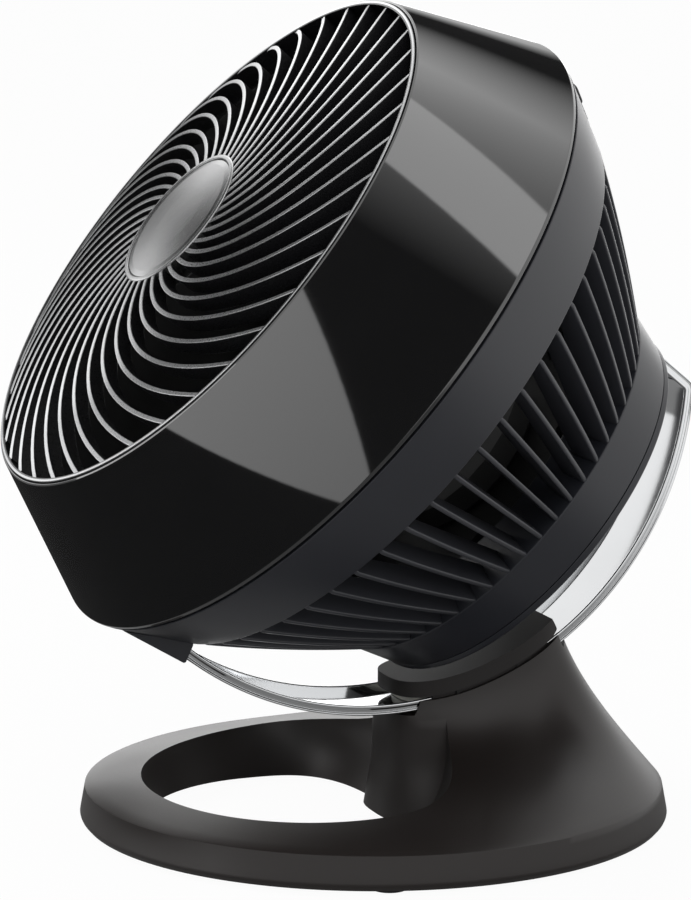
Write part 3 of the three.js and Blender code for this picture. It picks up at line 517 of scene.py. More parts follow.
def carved(body, tools, operation="DIFFERENCE", sharp=32.0):
    """body cut by, joined to or kept inside each tool; the tools are used up."""
    for tool in tools:
        change = body.modifiers.new("carve", "BOOLEAN")
        change.operation = operation
        change.solver = "EXACT"
        change.object = tool
        bpy.context.view_layer.update()
        done = bpy.data.meshes.new_from_object(
            body.evaluated_get(bpy.context.evaluated_depsgraph_get())
        )
        body.modifiers.clear()
        old = body.data
        body.data = done
        done.name = body.name
        bpy.data.meshes.remove(old)
        bpy.data.objects.remove(tool)
    smooth(body, sharp)
    return body


def merged(name, parts):
    """Several objects as one."""
    work = bmesh.new()
    for part in parts:
        work.from_mesh(part.data)
    mesh = parts[0].data.copy()
    work.to_mesh(mesh)
    work.free()
    mesh.name = name
    for part in parts:
        bpy.data.objects.remove(part)
    made = bpy.data.objects.new(name, mesh)
    bpy.context.scene.collection.objects.link(made)
    return made


def finished(made, body, slot, *nodes):
    """Hands a piece over: the body it moves with and the nodes it stands for, which it hides; slot is not
    used.
    """
    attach(made, body)
    if nodes:
        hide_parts(*nodes)
    return made


# ------------------------------------------------------------------ patterns round the axis


def ring_tree():
    """Copies of the incoming mesh turned about its own z axis, made real."""
    tree = bpy.data.node_groups.new("ring_of_copies", "GeometryNodeTree")
    face = tree.interface
    face.new_socket("Geometry", in_out="INPUT", socket_type="NodeSocketGeometry")
    face.new_socket("Count", in_out="INPUT", socket_type="NodeSocketInt")
    face.new_socket("Step", in_out="INPUT", socket_type="NodeSocketFloat")
    face.new_socket("Start", in_out="INPUT", socket_type="NodeSocketFloat")
    face.new_socket("Finish", in_out="INPUT", socket_type="NodeSocketMaterial")
    face.new_socket("Geometry", in_out="OUTPUT", socket_type="NodeSocketGeometry")
    nodes, links = tree.nodes, tree.links
    given = nodes.new("NodeGroupInput")
    points = nodes.new("GeometryNodePoints")
    index = nodes.new("GeometryNodeInputIndex")
    turn = nodes.new("ShaderNodeMath")
    turn.operation = "MULTIPLY_ADD"
    euler = nodes.new("ShaderNodeCombineXYZ")
    copies = nodes.new("GeometryNodeInstanceOnPoints")
    real = nodes.new("GeometryNodeRealizeInstances")
    paint = nodes.new("GeometryNodeSetMaterial")
    result = nodes.new("NodeGroupOutput")
    links.new(given.outputs["Count"], points.inputs["Count"])
    links.new(index.outputs[0], turn.inputs[0])
    links.new(given.outputs["Step"], turn.inputs[1])
    links.new(given.outputs["Start"], turn.inputs[2])
    links.new(turn.outputs[0], euler.inputs["Z"])
    links.new(points.outputs[0], copies.inputs["Points"])
    links.new(given.outputs["Geometry"], copies.inputs["Instance"])
    links.new(euler.outputs[0], copies.inputs["Rotation"])
    links.new(copies.outputs[0], real.inputs[0])
    links.new(real.outputs[0], paint.inputs["Geometry"])
    links.new(given.outputs["Finish"], paint.inputs["Material"])
    links.new(paint.outputs[0], result.inputs[0])
    return tree


ring_group = ring_tree()


def ring_of(part, count, finish, place, start=0.0, sharp=32.0):
    """count copies of a part all round the z axis of its own frame, then put in place."""
    change = part.modifiers.new("copies", "NODES")
    change.node_group = ring_group
    values = {"Count": count, "Step": TAU / count, "Start": start, "Finish": finish.material}
    for item in ring_group.interface.items_tree:
        if item.in_out == "INPUT" and item.name in values:
            change[item.identifier] = values[item.name]
    bpy.context.view_layer.update()
    done = bpy.data.meshes.new_from_object(
        part.evaluated_get(bpy.context.evaluated_depsgraph_get())
    )
    part.modifiers.clear()
    done.transform(place)
    done.name = part.name
    part.data = done
    smooth(part, sharp)
    return part


LOCAL = Matrix.Identity(4)

# ------------------------------------------------------------------ front shroud

SHROUD_EDGE = 2.6  # length of its rounded rear edge
SHROUD_RISE = 3.4  # how far it runs past the seat of the grille
SHROUD_TIP = 1.1  # how far its front lip turns in over the ring
open_in = OPENING_R + 1.5
shroud_front = SHROUD_L + SHROUD_RISE
shroud_slope = (HEAD_R - open_in) / (SHROUD_L - SHROUD_EDGE)


def shroud_r(s):
    """Outer radius of the shroud."""
    return open_in + shroud_slope * (SHROUD_L - s)


shroud = revolved("front_shroud_shell", [
    (HEAD_R - LIP, 1.0), (HEAD_R - 0.2, 1.0, 0.4), (HEAD_R, SHROUD_EDGE, 1.0),
    (shroud_r(shroud_front - 0.5), shroud_front - 0.5, 0.4), (OPENING_R - 0.5, shroud_front, 0.3),
    (OPENING_R - SHROUD_TIP, shroud_front - 0.4, 0.2), (OPENING_R - SHROUD_TIP, SHROUD_L - 1),
    (open_in - WALL, SHROUD_L - 1.5), (shroud_r(12) - WALL - 0.4, 12, 4), (HEAD_R - LIP, 5),
], gloss_black, HEAD, segments=288, sharp=50)
finished(shroud, "head", "gloss_black", "front_shroud")

# ------------------------------------------------------------------ outlet grille

RING_RISE = 4.2  # front of the ring ahead of its seat
SKIRT_L = 8.0  # skirt of the ring that goes down inside the shroud
VANE_DROP = 0.6  # front line of the vanes behind the front of the ring, at the ring
HUB_LEAD = 0.8  # front of the hub ahead of the vanes
ring_in = OPENING_R - RIM_T
rim_front = SHROUD_L + RING_RISE
rim_out = OPENING_R - SHROUD_TIP - GAP
rim_skirt = open_in - WALL - GAP - 0.2
hub_front = rim_front - VANE_DROP + DOME_H + HUB_LEAD


def dome_s(r):
    """Front line of the vanes: a dome that falls from the hub to the ring, steepest at the ring."""
    reach = min(1.0, max(0.0, (r - HUB_R) / (ring_in - HUB_R)))
    return rim_front - VANE_DROP + DOME_H * (1 - reach**2.6)


def vane_angle(r):
    """Where the first vane's middle line is at radius r, anticlockwise from the head's right."""
    return math.radians(90 - VANE_PHASE - VANE_SWEEP * (ring_in - r) / (ring_in - HUB_R))


def mark_front(made, bright):
    """Marks the faces that carry the bright finish, told by each face's middle."""
    mark = made.data.attributes.new("front_edge", "FLOAT", "FACE")
    marks = []
    for face in made.data.polygons:
        r = math.hypot(face.center.x, face.center.y)
        marks.append(1.0 if bright(r, face.center.z) else 0.0)
    mark.data.foreach_set("value", marks)


rim = revolved("outlet_ring", [
    (rim_skirt - 2.2, SHROUD_L - SKIRT_L), (rim_skirt, SHROUD_L - SKIRT_L), (rim_skirt, SHROUD_L + GAP),
    (rim_out, SHROUD_L + GAP, 0.1), (rim_out, rim_front, 0.3), (rim_out - RIM_EDGE, rim_front),
    (ring_in, rim_front, 0.7), (ring_in, rim_front - VANE_DEPTH - 2),
], vane_silver, LOCAL, segments=288)
mark_front(rim, lambda r, s: r > rim_out - RIM_EDGE and s > rim_front - 0.6)
rim.data.transform(HEAD)
finished(rim, "head", "grille_silver", "front_grille")

badge_seat = hub_front - BADGE_WELL
grille_hub = revolved("grille_hub", [
    (0, badge_seat - WALL), (HUB_R, hub_front - VANE_DEPTH - 3, 1), (HUB_R, hub_front, 0.9),
    (HUB_R - BADGE_EDGE, hub_front, 0.5), (HUB_R - BADGE_EDGE, badge_seat), (0, badge_seat),
], silver, HEAD, segments=120)
finished(grille_hub, "head", "grille_silver")

VANE_ROUND = 0.3
VANE_THIN = 0.8  # share of its thickness that a vane keeps at its back
VANE_BRIGHT = 0.45  # depth of the bright finish on its front edge
VANE_STATIONS = 27
vane_root = HUB_R - 1.2
vane_end = ring_in + 0.4


def vane_section(r):
    """Section of a vane, square to its run: flat sides and a rounded front edge."""
    angle, ahead = vane_angle(r), vane_angle(r + 0.5)
    here = Vector((r * math.cos(angle), r * math.sin(angle)))
    run = Vector(((r + 0.5) * math.cos(ahead), (r + 0.5) * math.sin(ahead))) - here
    side = Vector((-run.y, run.x)).normalized()
    front = dome_s(r) - (0.3 if r > ring_in else 0)
    back = front - VANE_DEPTH
    half = VANE_T / 2
    thin = half * VANE_THIN
    outline = closed_outline([
        (-thin, back, VANE_ROUND), (thin, back, VANE_ROUND),
        (half, front, VANE_ROUND), (-half, front, VANE_ROUND),
    ], steps=2)
    return [(here.x + w * side.x, here.y + w * side.y, s) for w, s in outline]


vane_rings = [vane_section(r) for r in spread(vane_root, vane_end, VANE_STATIONS)]
vane = lofted("outlet_vanes", vane_rings, vane_silver, LOCAL, sharp=45)
mark_front(vane, lambda r, s: s > dome_s(r) - VANE_BRIGHT)
ring_of(vane, VANE_COUNT, vane_silver, HEAD, sharp=45)
finished(vane, "head", "grille_silver")

badge_r = HUB_R - BADGE_EDGE - GAP
badge = revolved("grille_badge_disc", [
    (0, hub_front - 2), (badge_r, hub_front - 2, 0.2), (badge_r, hub_front - 0.6, 0.5),
    (badge_r - 3, hub_front - 0.25, 2), (badge_r * 0.5, hub_front - 0.05, 3), (0, hub_front),
], silver, HEAD, segments=120)
finished(badge, "head", "badge", "grille_badge")

# ------------------------------------------------------------------ rear housing

band_slope = (HEAD_R - 0.8 - BAND_REAR_R) / (BAND_L - 0.6)
cone_in = COLLAR_FRONT_R - 21.8  # inner edge of the cone that the fins' rear ends meet
cone_rise = 0.6  # how far that cone runs forward for each millimetre inward
collar_bore = COLLAR_REAR_R - WALL - 0.2


def band_r(s):
    """Outer radius of the plain band, which runs straight from the joint line to the fins."""
    return HEAD_R - 0.8 - band_slope * (-0.6 - s)


def fin_r(s):
    """Radius of the fins' outer edges."""
    f = (-s - BAND_L) / (COLLAR_S - BAND_L)
    swell = FIN_SWELL * 4 * f * (1 - f) if 0 < f < 1 else 0
    return BAND_REAR_R + (COLLAR_FRONT_R - BAND_REAR_R) * f + swell


panel_tangent = Vector((-band_slope, -1)).normalized()
panel_normal = Vector((-panel_tangent.y, panel_tangent.x))


def panel_point(a, b):
    """(r, s) of a place on the button panel: a toward the rear along the band, b out of it."""
    return (
        band_r(PANEL_S) + a * panel_tangent.x + b * panel_normal.x,
        PANEL_S + a * panel_tangent.y + b * panel_normal.y,
    )


SECTOR_STEPS = 40


def sector(name, section, half_angle, finish, place):
    """A closed section of panel (a, b) points swept round the head's axis."""
    ring = [panel_point(a, b) for a, b in closed_outline(section, 3)]
    rings = []
    for k in range(SECTOR_STEPS + 1):
        angle = math.radians(half_angle) * (2 * k / SECTOR_STEPS - 1)
        rings.append([(r * math.sin(angle), r * math.cos(angle), s) for r, s in ring])
    return lofted(name, rings, finish, place)


tongue_r = HEAD_R - LIP - GAP
band = revolved("rear_band", [
    (tongue_r - WALL, TONGUE_L), (BAND_REAR_R - WALL - 0.4, -BAND_L, 0.4), (BAND_REAR_R, -BAND_L, 0.9),
    (band_r(-0.6), -0.6, 0.45), (tongue_r, -0.6), (tongue_r, TONGUE_L),
], charcoal, HEAD, segments=288)
half_window = PANEL_HALF_L + GAP
window = sector("window", [
    (-half_window, -9), (half_window, -9), (half_window, 12), (-half_window, 12),
], PANEL_HALF_ANGLE + 0.15, charcoal, HEAD)
carved(band, [window])
finished(band, "head", "satin_charcoal", "rear_housing")

collar = revolved("rear_collar", [
    (collar_bore, collar_end), (COLLAR_REAR_R, collar_end, 0.8), (COLLAR_FRONT_R, -COLLAR_S, 0.7),
    (cone_in, -COLLAR_S + cone_rise * (COLLAR_FRONT_R - cone_in), 0.8),
    (cone_in, -COLLAR_S + 8.5), (collar_bore, -COLLAR_S, 2),
], charcoal, HEAD, segments=240)
finished(collar, "head", "satin_charcoal")

FIN_END_LEAN = 4.0  # how far a fin's rear end runs forward, along the cone it meets
FIN_TAPER = 0.012  # share of its thickness that a fin loses with each millimetre inward


def fin_half_t(depth):
    """A fin is rounded at its outer edge and thins a little inward."""
    if depth < 1.0:
        return FIN_T / 2 * (0.45 + 0.55 * math.sqrt(max(0.0, 1 - (1 - depth) ** 2)))
    return FIN_T / 2 * (1 - FIN_TAPER * depth)


ROOT = 1.2  # how far a fin's ends sink into the band and the collar
FIN_STATIONS = 22
fin_end_r = cone_in + 9
fin_inner_front = (BAND_REAR_R - FIN_DEPTH, -BAND_L - 4)
fin_inner_rear = (fin_end_r, -COLLAR_S + cone_rise * (COLLAR_FRONT_R - fin_end_r) - ROOT)


def fin_ring(i):
    """A fin's outline, square to the head's axis, at one of its stations from the band to the collar."""
    first, last = i == 0, i == FIN_STATIONS
    s = -BAND_L + ROOT + (-COLLAR_S - 0.6 + BAND_L - ROOT) * i / FIN_STATIONS
    outer_r = min(fin_r(s), BAND_REAR_R - 0.7) if first else fin_r(s)
    if last:
        outer_r = COLLAR_FRONT_R - 0.9
    run = (s - fin_inner_front[1]) / (fin_inner_rear[1] - fin_inner_front[1])
    run = max(0.0, min(1.0, run))
    inner_r = fin_inner_front[0] + (fin_inner_rear[0] - fin_inner_front[0]) * run
    if first:
        inner_r = BAND_REAR_R - WALL + 0.4
    lean = FIN_END_LEAN if last else 0.0
    depth = outer_r - inner_r
    side = []
    for d in (0.0, 0.25, 0.6, 1.0, 2.0, depth * 0.5, depth - 0.6, depth):
        half = fin_half_t(d) * (0.5 if d == depth else 1)
        side.append((outer_r - d, half, s + lean * d / depth))
    return side + [(r, -half, z) for r, half, z in reversed(side)]


fin_rings = [fin_ring(i) for i in range(FIN_STATIONS + 1)]
# fins in the lighter copy of the band's charcoal: painted light
fin = lofted("inlet_fins", fin_rings, fins_charcoal_painted_light, LOCAL, sharp=40)
ring_of(fin, FIN_COUNT, fins_charcoal_painted_light, HEAD, start=-math.radians(FIN_PHASE), sharp=40)
finished(fin, "head", "satin_charcoal")

# wedge lugs that hold the glide's front end
LUG_OVERLAP = 3.0  # how far a lug reaches over the glide's edge
LUG_PROUD = 3.8  # how far it stands out beside the glide
lug_side = closed_outline([
    (band_r(-5) - 1.5, -5), (GLIDE_R + 2.2, PIVOT_S - 2.5, 1.2),
    (GLIDE_R - FLANGE_H - 2.6, PIVOT_S + 0.2, 1), (BAND_REAR_R - 2.5, PIVOT_S + 2),
], 4)
LUG_TURN = Matrix((
    (0, 0, -1, 0),
    (-1, 0, 0, 0),
    (0, 1, 0, 0),
    (0, 0, 0, 1),
))
for side, name in ((1, "glide_lug_right"), (-1, "glide_lug_left")):
    z0, z1 = sorted((side * (GLIDE_W / 2 - LUG_OVERLAP), side * (GLIDE_W / 2 + LUG_PROUD)))
    lug = prism(name, lug_side, z0, z1, charcoal, HEAD @ LUG_TURN)
    finished(lug, "head", "satin_charcoal")

# ------------------------------------------------------------------ glide

FRONT_END = -90.8  # degrees from straight behind the head, where the strap ends between the lugs
TONGUE = 2.6  # degrees that its two edges run on inside the lugs
CORNER_R = 7.0  # bend from the arc into the rear leg
FOOT_BEND = 2.5  # bend from the rear leg into the foot
ARC_STEPS = 96
BEND_STEPS = 10
LEG_STEPS = 8
foot_back = cover_face - GAP


def glide_path(tongue, to_foot):
    """Points of the glide's outer face with the direction to its inner side, as (u, s) pairs."""
    path = []

    def arc(middle, r, start, end, first, steps):
        for i in range(first, steps + 1):
            a = start + (end - start) * i / steps
            out = Vector((math.sin(a), -math.cos(a)))
            path.append((middle + r * out, -out))

    corner_u = TAB_U - CORNER_R
    corner_s = PIVOT_S - math.sqrt((GLIDE_R - CORNER_R) ** 2 - corner_u**2)
    corner = math.atan2(corner_u, PIVOT_S - corner_s)
    arc(Vector((0, PIVOT_S)), GLIDE_R, math.radians(FRONT_END - tongue), corner, 0, ARC_STEPS)
    arc(Vector((corner_u, corner_s)), CORNER_R, corner, math.pi / 2, 1, BEND_STEPS)
    leg_end = foot_back - FOOT_BEND
    last = leg_end - (0 if to_foot else 0.4)
    for i in range(1, LEG_STEPS + 1):
        path.append((Vector((TAB_U, corner_s + (last - corner_s) * i / LEG_STEPS)), Vector((-1, 0))))
    if to_foot:
        arc(Vector((TAB_U - FOOT_BEND, leg_end)), FOOT_BEND, math.pi / 2, math.pi, 1, LEG_STEPS)
        path.append((Vector((TAB_U - TAB_FOOT, foot_back)), Vector((0, -1))))
    return path


def swept(name, section, path, finish, place):
    """A section of (x, depth) points carried along the glide's side line."""
    ring = closed_outline(section, 4)
    rings = []
    for point, inward in path:
        rings.append([(x, point.x + d * inward.x, point.y + d * inward.y) for x, d in ring])
    return lofted(name, rings, finish, place)


half_w = GLIDE_W / 2
strap_w = half_w - 0.3
FLUTE = 0.5  # depth of the flute along each edge's outer side
floor = swept("strap", [
    (-strap_w, 0.15, 0.5), (strap_w, 0.15, 0.5), (strap_w, GLIDE_T, 0.2), (-strap_w, GLIDE_T, 0.2),
], glide_path(0, True), chrome, HEAD)
edges = [floor]
for side in (1, -1):
    section = [
        (half_w, 0.9, 0.5), (half_w - FLUTE, 1.75, 0.35), (half_w - FLUTE, 2.9, 0.35), (half_w, 3.7, 0.5),
        (half_w, FLANGE_H, 0.7), (half_w - GLIDE_T, FLANGE_H, 0.7), (half_w - GLIDE_T, 0.4),
        (half_w - 0.8, 0.05, 0.5), (half_w, 0.4, 0.4),
    ]
    section = [(side * point[0], *point[1:]) for point in section]
    edges.append(swept("edge", section, glide_path(TONGUE, False), chrome, HEAD))
glide = merged("glide_strap", edges)
smooth(glide, 35)
finished(glide, "head", "chrome", "glide_band")

# ------------------------------------------------------------------ rear cover and its fasteners

PAD_R = 79.0  # dome's foot, where the flat rim begins
COVER_T = 2.6
plug_r = collar_bore - GAP  # the cover's sleeve, inside the collar
cover = revolved("rear_cover_shell", [
    (0, COVER_REAR), (20, COVER_REAR + 0.6, 60), (45, COVER_REAR + 5.2, 60), (66, COVER_REAR + 13.2, 25),
    (76, COVER_REAR + 23, 8), (PAD_R, cover_face, 1.5), (COLLAR_REAR_R - 0.2, cover_face, 1.2),
    (COLLAR_REAR_R - 0.2, collar_end - GAP, 0.3), (plug_r, collar_end - GAP), (plug_r, collar_end + 8),
    (plug_r - 2.5, collar_end + 8), (plug_r - 2.5, cover_face + COVER_T), (PAD_R - 2, cover_face + COVER_T),
    (0, cover_face + COVER_T),
], charcoal, HEAD, segments=240, steps=8)
GLAND_SPOT = (-46.0, -34.0)
GLAND_R = 6.0
gland_face = COVER_REAR + 4


def spot(x, y):
    """A place beside the head's axis: x to the right as seen from the front, y up."""
    return HEAD @ Matrix.Translation((x, y, 0))


well_r = GLAND_R + GAP
well = revolved("well", [
    (0, gland_face - 8), (well_r, gland_face - 8), (well_r, gland_face + 24), (0, gland_face + 24),
], charcoal, spot(*GLAND_SPOT), segments=40)
boss = revolved("boss", [
    (0, gland_face), (GLAND_R + 4, gland_face, 1.2), (GLAND_R + 4, gland_face + 16), (0, gland_face + 16),
], charcoal, spot(*GLAND_SPOT), segments=48)
carved(cover, [boss], "UNION")
carved(cover, [well])
finished(cover, "head", "satin_charcoal", "rear_cover")

gland_out = gland_face - GAP
gland_end = gland_face + 20
gland = revolved("cord_gland_bush", [
    (3.2, gland_end), (3.2, gland_out - 9, 0.4), (4.8, gland_out - 9, 0.8), (5.8, gland_out - 2.4, 0.4),
    (GLAND_R + 2.6, gland_out - 2.4, 0.8), (GLAND_R + 2.6, gland_out, 0.5), (GLAND_R, gland_out),
    (GLAND_R, gland_end),
], rubber, spot(*GLAND_SPOT), segments=48)
finished(gland, "head", "rubber", "cord_gland")

COVER_SCREW_R = 89.5  # circle of the cover's four screws
COVER_SCREWS = 4
GLIDE_SCREW_X = 12.0
SCREW_HEAD_R = 3.35
SCREW_HEAD_H = 2.2
CROSS_L = 3.8
CROSS_W = 0.75
foot_screw_u = TAB_U - TAB_FOOT + 5


def screw_part(name, top):
    """Pan head facing the rear with a cross recess, its shank hidden in its bore."""
    head_part = revolved(name, [
        (0, top - SCREW_HEAD_H), (2.4, top - SCREW_HEAD_H, 0.9), (SCREW_HEAD_R, top - 1.2, 0.8),
        (SCREW_HEAD_R, top, 0.2), (1.4, top), (1.4, top + 6.5), (0, top + 6.5),
    ], steel, LOCAL, segments=28)
    slots = []
    for w, l in ((CROSS_W / 2, CROSS_L / 2), (CROSS_L / 2, CROSS_W / 2)):
        corners = [(-l, -w), (l, -w), (l, w), (-l, w)]
        slots.append(prism("slot", corners, top - 3.4, top - 1.1, steel, LOCAL))
    return carved(head_part, slots)


cover_screws = screw_part("cover_screws", cover_face - GAP)
cover_screws.data.transform(Matrix.Translation((COVER_SCREW_R, 0, 0)))
ring_of(cover_screws, COVER_SCREWS, steel, HEAD, start=math.pi / 4)
finished(cover_screws, "head", "steel", *[f"cover_screw_{i + 1}" for i in range(COVER_SCREWS)])
for i, x in ((1, -GLIDE_SCREW_X), (2, GLIDE_SCREW_X)):
    screw = screw_part(f"glide_screw_head_{i}", foot_back - GLIDE_T - GAP)
    screw.data.transform(spot(x, foot_screw_u))
    finished(screw, "head", "steel", f"glide_screw_{i}")

# ------------------------------------------------------------------ duct and propeller

FLANGE_REAR = -BAND_L + 4.6  # the duct's flange, inside the rear end of the band
duct_front = SHROUD_L - SKIRT_L - GAP
flange_front = FLANGE_REAR + DUCT_T
duct_flange = BAND_REAR_R - WALL + band_slope * 3 - GAP * 3
# the duct's near-black finish is painted shade inside the head
duct = revolved("inner_duct_wall", [
    (DUCT_R, -20, 20), (DUCT_R + 5, FLANGE_REAR, 1), (duct_flange, FLANGE_REAR),
    (duct_flange, flange_front), (DUCT_R + 6.6, flange_front, 2), (DUCT_R + DUCT_T, -19, 20),
    (DUCT_R + 6, 14, 40), (rim_skirt, duct_front - 3), (rim_skirt, duct_front),
    (rim_skirt - DUCT_T, duct_front, 0.4), (DUCT_R + 3.6, 14, 40),
], duct_shade_black, HEAD, segments=192, steps=8)
finished(duct, "head", "satin_black", "inner_duct")

SPINNER_T = 3.0
HUB_WEB = 24.0  # the web that carries the spinner's bore, behind its nose
NUT_R = 14.0  # recess for the nut
NUT_H = 9.0
motor_rear = MOUNT_S + GAP
motor_front = motor_rear + MOTOR_L
hub_back = motor_front + 2
hub_top = hub_back + SPINNER_L
tip_r = DUCT_R - BLADE_GAP
bore_r = SHAFT_R + GAP
spinner = revolved("propeller_hub", [
    (bore_r, hub_back), (9, hub_back), (9, hub_top - HUB_WEB), (SPINNER_R - SPINNER_T, hub_top - HUB_WEB),
    (SPINNER_R - SPINNER_T, hub_back + 3), (SPINNER_R, hub_back + 3, 0.8), (SPINNER_R, hub_top - 12, 8),
    (SPINNER_R - 4, hub_top - 5, 6), (SPINNER_R - 12, hub_top - 1, 8), (NUT_R, hub_top, 0.8),
    (NUT_R, hub_top - NUT_H, 0.6), (bore_r, hub_top - NUT_H),
], fan_grey, HEAD, segments=96)
BLADES = 3
BLADE_WRAP = 88  # degrees from a blade's rear edge to its front edge, at the hub
BLADE_SWEEP = 16  # degrees that its middle leads from hub to tip
BLADE_NARROW = 0.18  # share of the wrap that is lost at the tip
BLADE_CAMBER = 3.4
BLADE_T = 2.6
BLADE_SINK = 1.7  # how far a blade's root sinks into the hub
BLADE_ROWS = 20
CHORD_STEPS = 24


def blade_point(u, v, lift):
    """A place on a blade: u from its rear to its front edge, v from hub to tip, lift off its middle."""
    r = SPINNER_R - BLADE_SINK + (tip_r - SPINNER_R + BLADE_SINK) * v
    a = math.radians(BLADE_WRAP * (1 - BLADE_NARROW * v * v) * (u - 0.5) + BLADE_SWEEP * v)
    front = hub_top - 16 - 3 * v
    back = hub_back + 6 + 6 * v
    s = back + (front - back) * u + BLADE_CAMBER * math.sin(math.pi * u) + lift
    return r * math.cos(a), r * math.sin(a), s


def blade_half_t(u, v):
    """Half a blade's thickness: less toward the tip and at both edges."""
    return BLADE_T / 2 * (1 - 0.45 * v) * min(1.0, 0.25 + 6 * u * (1 - u))


blade_rings = []
chord = [j / CHORD_STEPS for j in range(CHORD_STEPS + 1)]
for i in range(BLADE_ROWS + 1):
    v = i / BLADE_ROWS
    low = [blade_point(u, v, -blade_half_t(u, v)) for u in chord]
    high = [blade_point(u, v, blade_half_t(u, v)) for u in reversed(chord)]
    blade_rings.append(low + high)
blade = lofted("blade", blade_rings, fan_grey, LOCAL, sharp=50, caps=False)
work = bmesh.new()
work.from_mesh(blade.data)
ends = [e for e in work.edges if e.is_boundary]
bmesh.ops.holes_fill(work, edges=ends, sides=0)
bmesh.ops.triangulate(work, faces=[f for f in work.faces if len(f.verts) > 4])
bmesh.ops.recalc_face_normals(work, faces=work.faces)
work.to_mesh(blade.data)
work.free()
ring_of(blade, BLADES, fan_grey, HEAD, sharp=50)
propeller = merged("propeller_body", [spinner, blade])
smooth(propeller, 45)
finished(propeller, "propeller", "fan_grey", "propeller")

# ------------------------------------------------------------------ controls

PANEL_T = 3.2
PANEL_PROUD = 0.8
BUTTON_PROUD = 2.6
BUTTON_STEM = 6.6  # how far a button reaches down into its well
BUTTON_CORNER = 2.0
LEGEND_H = 5.2
panel = sector("control_panel_plate", [
    (-PANEL_HALF_L, PANEL_PROUD - PANEL_T), (PANEL_HALF_L, PANEL_PROUD - PANEL_T),
    (PANEL_HALF_L, PANEL_PROUD, 0.5), (-PANEL_HALF_L, PANEL_PROUD, 0.5),
], PANEL_HALF_ANGLE, panel_black, HEAD)


def panel_frame(angle):
    """Place of a button on the band: x across, y to the rear, z out of the band."""
    across = Vector((math.cos(angle), -math.sin(angle), 0))
    up = Vector((math.sin(angle), math.cos(angle), 0))
    back = up * panel_tangent.x + Vector((0, 0, panel_tangent.y))
    out = up * panel_normal.x + Vector((0, 0, panel_normal.y))
    origin = up * band_r(PANEL_S) + Vector((0, 0, PANEL_S))
    columns = Matrix((across, back, out)).transposed().to_4x4()
    return HEAD @ Matrix.Translation(origin) @ columns


def rounded_plan(w, l, r):
    """A rectangle with round corners."""
    corners = ((w / 2, l / 2), (-w / 2, l / 2), (-w / 2, -l / 2), (w / 2, -l / 2))
    return closed_outline([(x, y, r) for x, y in corners], steps=6)


button_names = ["button_off", "button_1", "button_2", "button_3", "button_4"]
middle = (len(button_names) - 1) / 2
angles = [math.radians((i - middle) * BUTTON_STEP) for i in range(len(button_names))]
well_plan = rounded_plan(BUTTON_W + 2 * GAP, BUTTON_L + 2 * GAP, BUTTON_CORNER + 0.3)
wells = [prism("well", well_plan, -12, 6, panel_black, panel_frame(a)) for a in angles]
carved(panel, wells)
finished(panel, "head", "button_black", "control_panel")


def button_cap(name, angle):
    """A push button whose top edge rounds over in four steps."""
    rings = []
    for z, inset, sharper in (
        (-BUTTON_STEM, 0, 0), (1.0, 0, 0), (1.5, 0.05, 0),
        (2.1, 0.25, 0.1), (2.45, 0.6, 0.3), (BUTTON_PROUD, 1.1, 0.5),
    ):
        plan = rounded_plan(BUTTON_W - 2 * inset, BUTTON_L - 2 * inset, BUTTON_CORNER - sharper)
        rings.append([(x, y, z) for x, y in plan])
    return lofted(f"{name}_cap", rings, key_black, panel_frame(angle), sharp=50)


def button_figure(name, figure, angle):
    """A raised figure on a button, read from behind the head."""
    text = bpy.data.curves.new(f"{name}_legend", "FONT")
    text.body = figure
    text.size = LEGEND_H
    text.extrude = 0.05
    text.align_x = "CENTER"
    text.align_y = "CENTER"
    drawn = bpy.data.objects.new(f"{name}_legend", text)
    bpy.context.scene.collection.objects.link(drawn)
    bpy.context.view_layer.update()
    mesh = bpy.data.meshes.new_from_object(drawn.evaluated_get(bpy.context.evaluated_depsgraph_get()))
    bpy.data.objects.remove(drawn)
    turn = Matrix.Rotation(math.pi, 4, "Z")
    mesh.transform(panel_frame(angle) @ Matrix.Translation((0, 0, BUTTON_PROUD - 0.03)) @ turn)
    mesh.materials.clear()
    mesh.materials.append(legend.material)
    mark = bpy.data.objects.new(f"{name}_mark", mesh)
    bpy.context.scene.collection.objects.link(mark)
    return mark


for i, (name, angle) in enumerate(zip(button_names, angles)):
    finished(button_cap(name, angle), name, "button_black", name)
    finished(button_figure(name, str(i), angle), name, "badge")

# ------------------------------------------------------------------ base

saddle_half_w = GLIDE_W / 2 + CHEEK_T
saddle_mid = (SADDLE_FRONT + SADDLE_REAR) / 2
saddle_half_l = (SADDLE_REAR - SADDLE_FRONT) / 2
seat_r = GLIDE_R - FLANGE_H + GAP + 0.2
channel_r = GLIDE_R + GAP * 2 + PAD_T
cap_low_r = seat_r - GAP
cap_high_r = cap_low_r - SHADOW_H - CAP_T
CLEAR_TOP = 4.0  # how far the skin runs up past its seat before the seat is cut


def rounded(value, power):
    """A sine or cosine raised to a power with its sign kept, as a superellipse takes it."""
    return math.copysign(abs(value) ** power, value)


def saddle_point(angle, inset=0.0, grow=0.0, reach=0.0):
    """The saddle's outline: a round nose and a squarer heel."""
    c, s = math.cos(angle), math.sin(angle)
    power = HEEL_ROUND if s > 0 else SADDLE_ROUND
    x = (saddle_half_w - inset + grow) * rounded(c, power)
    y = saddle_mid + (saddle_half_l - inset + reach) * rounded(s, power)
    return x, y


def arc_z(y, r):
    """Height of an arc of radius r round the tilt centre, at y."""
    return PIVOT_Z - math.sqrt(r * r - (y - PIVOT_Y) ** 2)


def even_angles(count):
    """Angles that space the saddle's outline evenly."""
    fine = np.linspace(0, TAU, 4001)
    points = np.array([saddle_point(a) for a in fine])
    run = np.concatenate([[0], np.cumsum(np.hypot(*np.diff(points, axis=0).T))])
    blend = 0.5 * run / run[-1] + 0.5 * fine / TAU
    return np.interp(np.arange(count) / count, blend, fine)


AROUND = 224
flank_angles = even_angles(AROUND)


